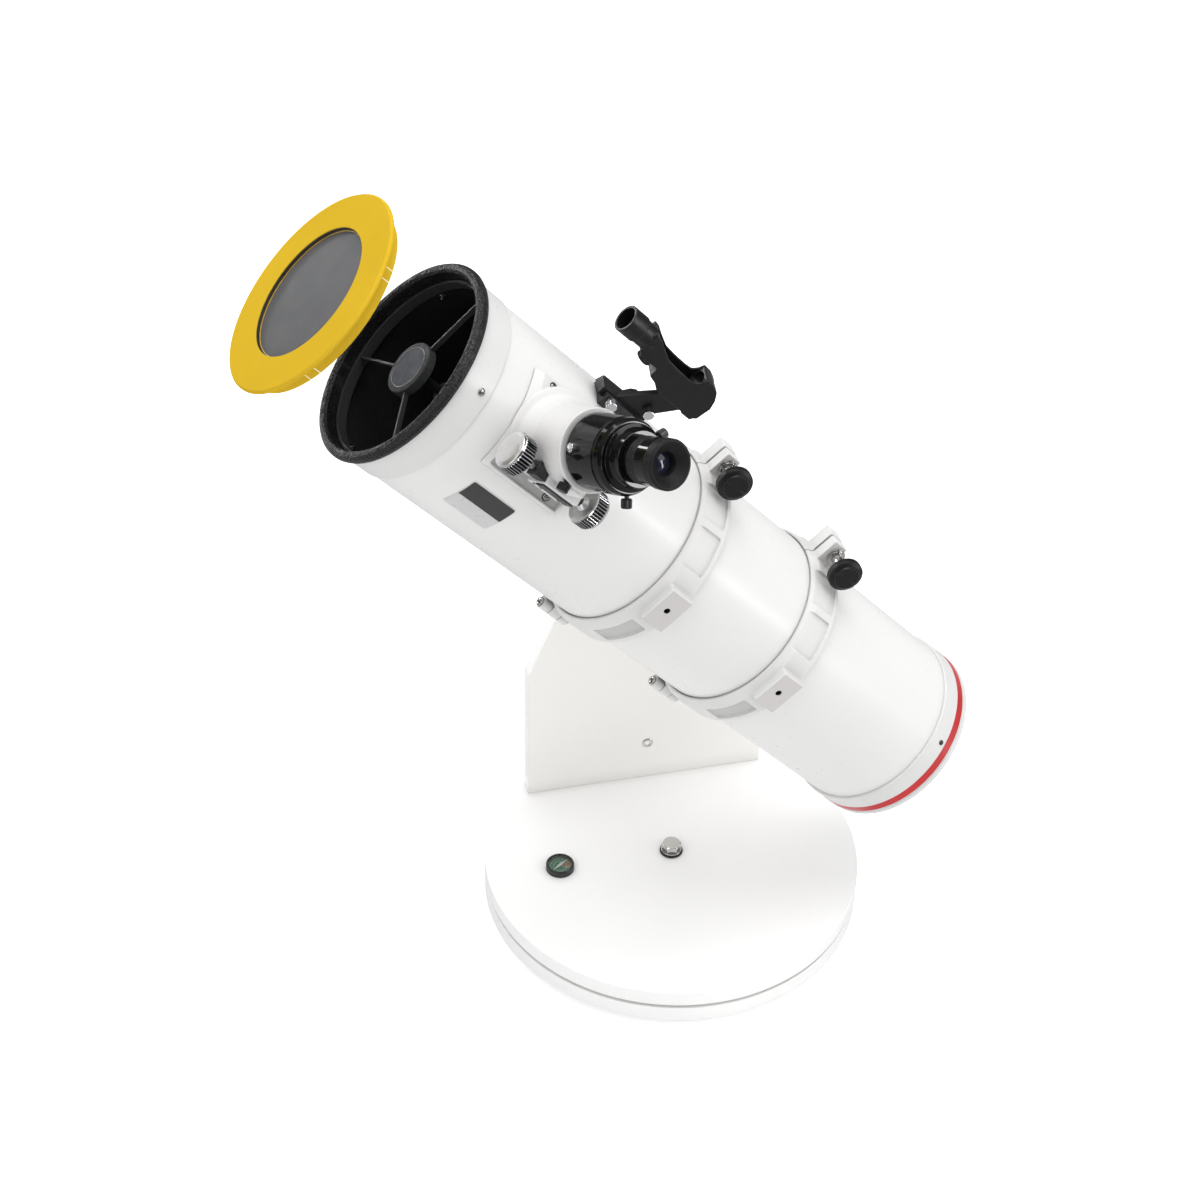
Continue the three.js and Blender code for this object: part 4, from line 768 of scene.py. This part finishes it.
FINV = FOCL.inverted(); DINV = DIP.inverted()


def casting_zone(c):
    p = FINV @ c
    if math.hypot(p[0], p[1]) < 28.6 and p[2] < 149.5: return 1
    q = DINV @ p
    # zone 1 is the bore; zone 2 is the sunken floor below the housing, painted grey as painted shade
    return 2 if (-5.3 < q[0] < 5.4 and -37.7 < q[1] < 40.7 and q[2] < 94.9) and q[2] > 94.2 else 0


piece("focuser_casting", me, CAST, "tube_assembly", M=TUBE, replaces=["focuser_base"], angle=70, mats=[FLAT_BLACK, SUNKEN_FLOOR_SHADE], choose=lambda c, n: casting_zone(c))
rad = lambda w, q: (w, q, math.sqrt(97 ** 2 - w * w))
nrm = lambda w: (w / 97, 0, math.sqrt(1 - (w / 97) ** 2))
low = lambda q: tuple(Matrix.Rotation(-24.7 * D2R, 4, "Y") @ Vector((0, q, 94.5)))
piece("focuser_plate_screws", [foc(pan(3.4, rad(38.5, q), nrm(38.5))) for q in (-23, 26)] + [foc(pan(3.4, low(q), (-math.sin(24.7 * D2R), 0, math.cos(24.7 * D2R)))) for q in (-23, 26)], STEEL, "tube_assembly", M=TUBE)
piece("focuser_plate_seats", [foc(along(pipe(3.3, 4.1, -0.6, 0.35, 48, 0.1), rad(38.5, q), nrm(38.5))) for q in (-23, 26)] +
      [foc(along(pipe(3.3, 4.3, -0.6, 0.35, 48, 0.1), low(q), (-math.sin(24.7 * D2R), 0, math.cos(24.7 * D2R)))) for q in (-23, 26)], INK, "tube_assembly", M=TUBE)
piece("pinion_cover", foc(geo_of(bake(mesh_of(box(-42.6, -41.1, -26.5, 9.5, 111, 122)), ("bevel", 0.4, 3)))), BLACKPL, "tube_assembly", M=TUBE)
piece("pinion_cover_screws", [foc(pan(1.9, (-41.0, y, z), (-1, 0, 0))) for y, z in ((7, 105.5), (0, 106.5), (-22.5, 105.5))], STEEL, "tube_assembly", M=TUBE)
me = bake(mesh_of(box(-39.6, -27.4, 11.2, 23, 111.5, 124.5)), ("cut", along(rod(3.5, 0, 30, 40), (-33.5, 5, 118), (0, 1, 0))), ("bevel", 0.8, 3))
piece("pinion_bush_front", foc(geo_of(me)), BLACKPL, "tube_assembly", M=TUBE)
piece("pinion_bush_rear", foc(along(lathe(fillet([(3.4, 0), (6.2, 0), (6.2, 2.6), (4.6, 3.2), (4.6, 6), (3.4, 6)], 0.3, 3, True), 64, True), (-33.5, -27, 118), (0, -1, 0))), BLACKPL, "tube_assembly", M=TUBE)
piece("draw_sleeve", [foc(lathe(fillet([(25.4, 89), (27, 89), (27, 160), (25.4, 160)], 0.3, 3, True), 128, True))], CHROME, "drawtube_assembly", M=TUBE, replaces=["drawtube"])
piece("draw_rack", foc(merge([box(-28.1, -26.4, -4, 4, 92, 148)] + [box(-28.7, -28.0, -4, 4, 92.4 + 1.5 * i, 93.1 + 1.5 * i) for i in range(37)])), STEEL, "drawtube_assembly", M=TUBE)
piece("pinion_shaft", foc(merge([along(rod(3, -50, 50, 40), (-33.5, 0, 118), (0, 1, 0)), along(knurled([(4.4, -7), (4.4, 7)], 14, 0.9, 6), (-33.5, 0, 118), (0, 1, 0))])), STEEL, "pinion", M=TUBE, replaces=["focus_pinion"])


def knob_zone(p):
    r = off_axis(p, (-33.5, 0, 118), (0, 1, 0))
    if r < 16.4 and (abs(p[1]) > 52.0 or abs(p[1]) < 37.6): return 2
    # painted shade and dark reflection: the knurl grooves get the dark groove metal
    return 1 if (17.2 > r > 15.9 and 38.5 < abs(p[1]) < 49.5) else 0


for nm, sd in (("front", 1), ("rear", -1)):
    kp = fillet([(3.4, 0.2), (14, 0.2, 0.6), (16.6, 0.5, 0.8), (17.6, 1.4, 0.5), (17.6, 12.4, 0.5), (16.8, 13.2, 0.4), (16.5, 13.4, 0.3), (16.3, 15.2, 1.2), (13, 16.8, 3), (8, 17.4, 4), (0.001, 17.6)], 0.6, 5)
    kn = knurled(kp, 38, 1.25, 8, 1.3, 12.6)
    boss = lathe(fillet([(0, -4.0), (4.0, -4.0), (4.6, -3.2), (6.8, 0.4), (0, 0.4)], 0.3, 3), 64)
    piece("focus_grip_%s" % nm, foc(along(merge([kn, boss]), (-33.5, sd * 37, 118), (0, sd, 0))), CHROME, "pinion", M=TUBE, replaces=["focus_knob_%s" % nm], mats=[KNURL_GROOVE_SHADE, KNOBFACE],
          choose=lambda c, n, sd=sd: knob_zone(FOCL.inverted() @ c))
lk = knurled(fillet([(0.001, 1.2), (5.2, 1.2, 0.6), (5.2, 8, 0.8), (0.001, 8)], 0.4, 3), 14, 0.5, 6, 1.6, 7.4)
piece("lock_screw", foc(along(merge([lk, rod(2.2, -6.6, 3, 24)]), (-35, 6.7, 145), (-1, 0, 0))), KNOBPL, "focus_lock", M=TUBE, replaces=["focus_lock_knob"])
hold = fillet([(27.4, 153), (31.4, 153, 0.5), (32, 153.8, 0.4), (32, 187.4, 0.3), (31, 188), (31, 190), (32, 190.6, 0.4), (31.4, 196, 2), (29.6, 199.6, 1.2), (25.8, 199.6), (25.8, 160.6), (27.4, 160.6)], 0.35, 5, True)
me = bake(mesh_of(foc(lathe(hold, 160, True))), *[("cut", foc(along(rod(2.3, 0, 20, 32), (20 * math.cos(a), 20 * math.sin(a), 194), (math.cos(a), math.sin(a), 0)))) for a in (-2.55, -0.53)])
piece("holder_barrel", me, ANOD, "drawtube_assembly", M=TUBE, replaces=["eyepiece_holder"])
for i, a in enumerate((-2.55, -0.53)):
    c = (math.cos(a), math.sin(a), 0)
    g = knurled(fillet([(0.001, 7.5), (3.9, 7.5, 0.3), (4.6, 8.2, 0.3), (4.6, 14.6, 0.3), (3.9, 15.5, 0.4), (0.001, 15.5)], 0.3, 3), 22, 0.35, 6, 8.2, 14.7)
    piece("holder_screw_grip_%d" % (i + 1), foc(along(merge([g, rod(1.9, 0, 8, 24)]), (26 * c[0], 26 * c[1], 194), c)), ANODM, "holder_screw_%d" % (i + 1), M=TUBE, replaces=["holder_thumbscrew_%d" % (i + 1)])
c = (-0.412, 0.911, 0)
piece("holder_side_screw", foc(along(merge([knurled(fillet([(0.001, 31.0), (3.3, 31.0), (3.9, 31.6), (3.9, 35.6), (3.3, 36.2, 0.4), (0.001, 36.2)], 0.3, 3), 20, 0.4, 6, 31.7, 35.5)]), (0, 0, 163.5), c)), CHROME, "drawtube_assembly", M=TUBE)
piece("adapter_barrel", foc(lathe(fillet([(16.3, 168), (25.3, 168), (25.3, 199.9), (28, 199.9, 0.3), (28, 202, 0.5), (24.8, 203, 0.5), (23.4, 208, 2), (23.4, 212.4, 0.8), (16.3, 212.4)], 0.3, 5, True), 144, True)), ANOD, "drawtube_assembly", M=TUBE, replaces=["eyepiece_adapter"])
piece("eyepiece_barrel", foc(lathe(fillet([(13.4, 186), (15.8, 186), (15.8, 212.8), (19.4, 212.8, 0.8), (19.4, 239.6, 0.4), (13.4, 239.6)], 0.3, 4, True), 128, True)), ANOD, "eyepiece_body", M=TUBE, replaces=["eyepiece"])
piece("eyepiece_cup", foc(lathe(fillet([(8.8, 236.2), (19.0, 236.2), (19.0, 239.8), (20.6, 240.4, 0.6), (20.8, 249, 1.0), (18.4, 250, 0.8), (9.8, 243.8, 1.0), (8.8, 240)], 0.6, 5, True), 128, True)), EYECUP, "eyepiece_body", M=TUBE)
piece("eyepiece_lens", foc(lathe([(0, 226), (13.3, 226), (13.3, 237), (9.5, 237.4), (6, 238.4), (3, 238.9), (0, 239.0)], 96)), COATED, "eyepiece_body", M=TUBE)
piece("eyepiece_grip_band", foc(knurled([(19.45, 217), (19.6, 217.2), (19.6, 226.8), (19.45, 227)], 90, 0.18, 4)), EYECUP, "eyepiece_body", M=TUBE)

# ---------------------------------------------------------------- finder
SIDE = Matrix(((0, 0, 1, 0), (1, 0, 0, 0), (0, 1, 0, 0), (0, 0, 0, 1)))       # (s, h) pushed along X
ACR = Matrix(((-1, 0, 0, 0), (0, 0, 1, 0), (0, 1, 0, 0), (0, 0, 0, 1)))       # (x, h) pushed along Y
side = lambda p, x0, x1: at(prism(p, x0, x1), SIDE)
across = lambda p, s0, s1: at(prism(p, s0, s1), ACR)
cylY = lambda r, s0, s1, h, seg=72: along(rod(r, 0, s1 - s0, seg, 0.3), (0, s0, h), (0, 1, 0))
V3 = 0.36
me = bake(mesh_of(box(-13.5, 13.5, 196, 247, 86, 102.5)), ("cut", along(rod(91.4, -10, 300, 240), (0, 60, 0), (0, 1, 0))), ("cut", across([(-9.8, 95.7), (9.8, 95.7), (7.9, 105), (-7.9, 105)], 190, 260)),
          ("cut", along(rod(2.4, 0, 14, 32), (-5, 240, 99.8), (-1, 0, 0))), ("bevel", 0.5, 3))
piece("shoe_block", fin(geo_of(me)), ANODM, "tube_assembly", M=TUBE, replaces=["finder_shoe"])
g = knurled(fillet([(0.001, 5.2), (4.4, 5.2, 0.3), (5, 5.8, 0.2), (5, 12.8, 0.2), (4.3, 13.3, 0.4), (0.001, 13.3)], 0.3, 3), 26, 0.32, 6, 5.7, 12.9)
piece("shoe_screw_grip", fin(along(merge([g, rod(2, 0, 6, 24)]), (-9.4, 240, 99.8), (-1, 0, 0))), CHROME, "shoe_screw", M=TUBE, replaces=["shoe_thumbscrew"])
piece("finder_arm_screw", fin(along(merge([g, rod(2, 0.5, 6, 24)]), (-4.4, 206, 113.5), (-1, 0, 0))), CHROME, "finder", M=TUBE)
me = bake(mesh_of(across([(-9.2, 96), (9.2, 96), (7.4, 104.6), (-7.4, 104.6)], 198, 252)), ("join", side([(236.5, 104.4), (204.5, 104.4), (185, 132.4), (211.5, 132.4)], -8.4, -2.4)),
          ("join", side([(231, 104.3), (213, 104.3), (216, 114), (221, 116), (226, 113)], -3, 4)), ("remesh", V3), ("smooth", 0.5, 2))
piece("finder_arm", fin(geo_of(me)), FINDERPL, "finder", M=TUBE, replaces=["finder_bracket"], angle=50)
prof = [(262, 152.4, 1), (259, 151, 2), (257, 149.2, 1), (236, 149.2, 1), (234.5, 140, 2), (226, 138, 3), (219, 134, 3), (213, 132.9, 2), (184.6, 132.9, 1), (183.6, 131.8), (172.6, 131.8, 1),
        (171, 135, 1.5), (168.4, 137, 2), (168, 152, 4), (172, 161, 5), (178, 168, 5), (186, 171, 4), (194.5, 171.5, 1.5), (196, 166, 2), (200, 161.2, 4), (208, 160.6, 4), (222, 161, 8), (235, 162.2, 8), (248, 167.8, 8),
        (256, 172, 4), (262, 173, 0.6)]
me = bake(mesh_of(side(fillet(prof, 1.0, 4, True), -11, 11)), ("join", cylY(11.4, 258, 289, 162)), ("join", cylY(12.5, 272.5, 289.6, 162)), ("cut", cylY(9.9, 251, 311, 162)), ("cut", cylY(8.2, 160, 210, 160.5)),
          ("cut", side([(258, 155.5), (194.6, 148.5), (194.6, 190), (258, 190)], -8.8, 8.8)), ("cut", along(rod(2.4, 0, 8, 32), (0, 246, 145), (0, 0, 1))), ("remesh", V3), ("smooth", 0.5, 3))
piece("finder_shell", fin(geo_of(me)), FINDERPL, "finder", M=TUBE, replaces=["finder_body"], angle=50)
piece("finder_window", fin(along(lathe(fillet([(0, 0), (9.7, 0), (9.7, 1.4), (0, 1.6)], 0.3, 3), 64), (0, 266, 162), (0, 1, 0))), DARKGLASS, "finder", M=TUBE)
piece("finder_emitter", fin(geo_of(bake(mesh_of(box(-4, 4, 200, 212, 148.0, 152)), ("bevel", 0.6, 3)))), BLACKPL, "finder", M=TUBE)
g = knurled(fillet([(0.001, 0), (6.8, 0, 0.4), (7.4, 0.6, 0.3), (7.4, 4.8, 0.3), (6.8, 5.4, 0.4), (0.001, 5.4)], 0.3, 3), 28, 0.45, 6, 0.5, 4.9)
piece("finder_dial", fin(along(merge([g, rod(2, 5, 9.5, 24)]), (0, 246, 143.2), (0, 0, 1))), FINDERPL, "finder_wheel_body", M=TUBE, replaces=["finder_wheel"])

# ---------------------------------------------------------------- solar filter, held off the tube
f = 497.0
st = []
prof = fillet([(62, f, 0.4), (94, f, 1.4), (95.5, f - 1.6, 0.8), (95.5, f - 3.6, 0.4), (87.2, f - 3.8, 0.6), (87.2, f - 15.6, 0.5), (85, f - 15.6, 0.5), (85, f - 6.4, 0.5), (70.8, f - 6.4), (70.8, f - 4.2), (62, f - 4.2)], 0.3, 4, True)
for a in (49, 56, -19, -12, 169, 176, -131, -124):
    st.append(("cut", at(box(80, 92, -0.55, 0.55, f - 17, f - 4.6), Matrix.Rotation(a * D2R, 4, "Z"))))
me = bake(mesh_of(lathe(prof, 240, True)), *st)
piece("filter_frame", me, YELLOW, "solar_filter", M=TUBE, replaces=["solar_filter_ring"])
# painted glints: thin pale strips standing just proud of the skirt along each slit
piece("filter_slot_painted_glints", [at(geo_of(bake(mesh_of(box(86.4, 87.45, -0.5, 0.5, f - 15.4, f - 4.8)), ("bevel", 0.12, 2))), Matrix.Rotation(a * D2R, 4, "Z")) for a in (49, 56, -19, -12, 169, 176, -131, -124)],
      paint("slot_painted_glint", (0.93, 0.84, 0.50), 0.5, ao=0.0), "solar_filter", M=TUBE)
piece("filter_film_disc", lathe(fillet([(0, f - 5.8), (70.2, f - 5.8), (70.2, f - 4.5), (0, f - 4.5)], 0.1, 2), 240), FILM, "solar_filter", M=TUBE, replaces=["solar_filter_film"])
piece("filter_gold_lip", lathe(fillet([(60.8, f - 4.45), (62.2, f - 4.45), (62.2, f - 3.6), (60.8, f - 3.9)], 0.15, 3, True), 240, True), GOLD, "solar_filter", M=TUBE)
# painted shadow: a thin black ring at the opening above the gold lip
piece("filter_painted_shadow_ring", lathe(fillet([(61.3, f - 3.7), (62.35, f - 3.7), (62.35, f - 0.9), (61.9, f - 0.9)], 0.1, 2, True), 240, True), BLACKPL, "solar_filter", M=TUBE)

# ---------------------------------------------------------------- carried-over nodes
NODE_MATS = {"azimuth_insert": STEEL, "secondary_holder": FLAT_BLACK, "secondary_mirror": MIRROR}
for nm, m in NODE_MATS.items():
    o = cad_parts[nm]
    o.data.materials.clear(); o.data.materials.append(m)

# ---------------------------------------------------------------- floor, light, camera
sc = bpy.context.scene
fl = mesh_of(loft([[(x * 9, y * 9, z) for x, y in circ(1, 96)] for z in (-0.05, 0.0)]), "floor")
fl.transform(Matrix.Translation((0, 0, -0.0122)))
FLM = N("floor_paper")
fl.materials.append(FLM.set(Base_Color=FLM.mix(FLM.rng(FLM.noise(3, 2), 0, 1), (0.93, 0.93, 0.93), (0.945, 0.945, 0.945)), Roughness=0.75, Normal=FLM.bump(FLM.noise(700, 3), 0.03, 0.0002), Specular_IOR_Level=0.2))
lpn = FLM.add("ShaderNodeLightPath"); lpf = lpn.outputs["Is Camera Ray"]
FLM.set(Base_Color=FLM.mix(lpn.outputs["Is Glossy Ray"], FLM.mix(FLM.rng(FLM.noise(3, 2), 0, 1), (0.93, 0.93, 0.93), (0.945, 0.945, 0.945)), (0.34, 0.34, 0.345)))
FLM.set(Emission_Color=(1, 1, 1), Emission_Strength=FLM.mul(lpf, 0.42))
floor = bpy.data.objects.new("floor", fl); sc.collection.objects.link(floor)

w = bpy.data.worlds.new("studio"); sc.world = w; w.use_nodes = True
nt = w.node_tree; nt.nodes.clear()
out = nt.nodes.new("ShaderNodeOutputWorld"); bg1 = nt.nodes.new("ShaderNodeBackground"); bg2 = nt.nodes.new("ShaderNodeBackground"); mx = nt.nodes.new("ShaderNodeMixShader"); lp = nt.nodes.new("ShaderNodeLightPath")
tc = nt.nodes.new("ShaderNodeTexCoord"); sp = nt.nodes.new("ShaderNodeSeparateXYZ"); rp = nt.nodes.new("ShaderNodeValToRGB")
nt.links.new(tc.outputs["Generated"], sp.inputs[0]); nt.links.new(sp.outputs["Z"], rp.inputs[0])
e = rp.color_ramp.elements; e[0].position = 0.0; e[0].color = (0.55, 0.55, 0.56, 1); e[1].position = 0.9; e[1].color = (1.0, 1.0, 1.0, 1)
nt.links.new(rp.outputs[0], bg1.inputs[0]); bg1.inputs[1].default_value = 0.94
bg2.inputs[0].default_value = (1, 1, 1, 1); bg2.inputs[1].default_value = 1.0
nt.links.new(lp.outputs["Is Camera Ray"], mx.inputs[0]); nt.links.new(bg1.outputs[0], mx.inputs[1]); nt.links.new(bg2.outputs[0], mx.inputs[2])
bg3 = nt.nodes.new("ShaderNodeBackground"); mx2 = nt.nodes.new("ShaderNodeMixShader"); r3 = nt.nodes.new("ShaderNodeValToRGB"); nt.links.new(sp.outputs["Z"], r3.inputs[0])
q = r3.color_ramp.elements; q[0].position = 0.05; q[0].color = (0.10, 0.10, 0.105, 1); q[1].position = 0.75; q[1].color = (0.38, 0.38, 0.38, 1)
x = q.new(0.35); x.color = (0.10, 0.10, 0.105, 1); x = q.new(0.50); x.color = (0.16, 0.16, 0.165, 1)
nt.links.new(r3.outputs[0], bg3.inputs[0]); bg3.inputs[1].default_value = 0.9
nt.links.new(lp.outputs["Is Glossy Ray"], mx2.inputs[0]); nt.links.new(mx.outputs[0], mx2.inputs[1]); nt.links.new(bg3.outputs[0], mx2.inputs[2]); nt.links.new(mx2.outputs[0], out.inputs[0])


def softbox(name, loc, target, size, power, size_y=None, col=(1, 1, 1)):
    l = bpy.data.lights.new(name, "AREA"); l.shape = "RECTANGLE"; l.size = size; l.size_y = size_y or size; l.energy = power; l.color = col
    o = bpy.data.objects.new(name, l); sc.collection.objects.link(o)
    o.location = loc; o.rotation_euler = (Vector(target) - Vector(loc)).to_track_quat("-Z", "Y").to_euler()
    return o


softbox("key_left", (-3.4, -2.6, 3.9), (0, 0, 0.3), 2.6, 42, 2.0)
softbox("top_soft", (0.3, 0.5, 5.4), (0, 0, 0.2), 3.6, 158)
softbox("fill_right", (3.8, -2.0, 2.3), (0, 0, 0.3), 2.4, 46)
# narrow boxes that only show as highlights on gloss black and chrome
for nm, loc, sx, sy, pw in (("strip_right", (2.06, -1.59, 0.69), 0.30, 1.2, 16.0), ("strip_back", (-1.25, 2.0, 1.15), 0.30, 1.3, 14.0), ("strip_left", (-2.1, 1.35, 0.60), 0.18, 1.0, 10.0), ("strip_front", (-1.9, -1.5, 0.75), 0.22, 1.0, 7.0)):
    o = softbox(nm, loc, (0, 0, 0.6), sx, pw, sy); o.visible_diffuse = False

cam = bpy.data.cameras.new("camera"); cam.lens = 66.22; cam.sensor_width = 36; cam.clip_end = 40
co = bpy.data.objects.new("camera", cam); sc.collection.objects.link(co)
az, el, ro = -14.297 * D2R, 38.852 * D2R, 1.584 * D2R
back = Vector((-0.19231, -0.75465, 0.62731)).normalized(); right = Vector((0.96903, -0.24694, 0)).normalized(); up = back.cross(right).normalized(); right = up.cross(back)
r2 = right * math.cos(ro) + up * math.sin(ro); u2 = -right * math.sin(ro) + up * math.cos(ro)
C = Vector((-0.4892, -1.58501, 1.71463))
co.matrix_world = Matrix(((r2[0], u2[0], back[0], C[0]), (r2[1], u2[1], back[1], C[1]), (r2[2], u2[2], back[2], C[2]), (0, 0, 0, 1)))
sc.camera = co
sc.view_settings.view_transform = "Standard"; sc.view_settings.look = "None"; sc.view_settings.exposure = 0.0

bpy.context.view_layer.update()
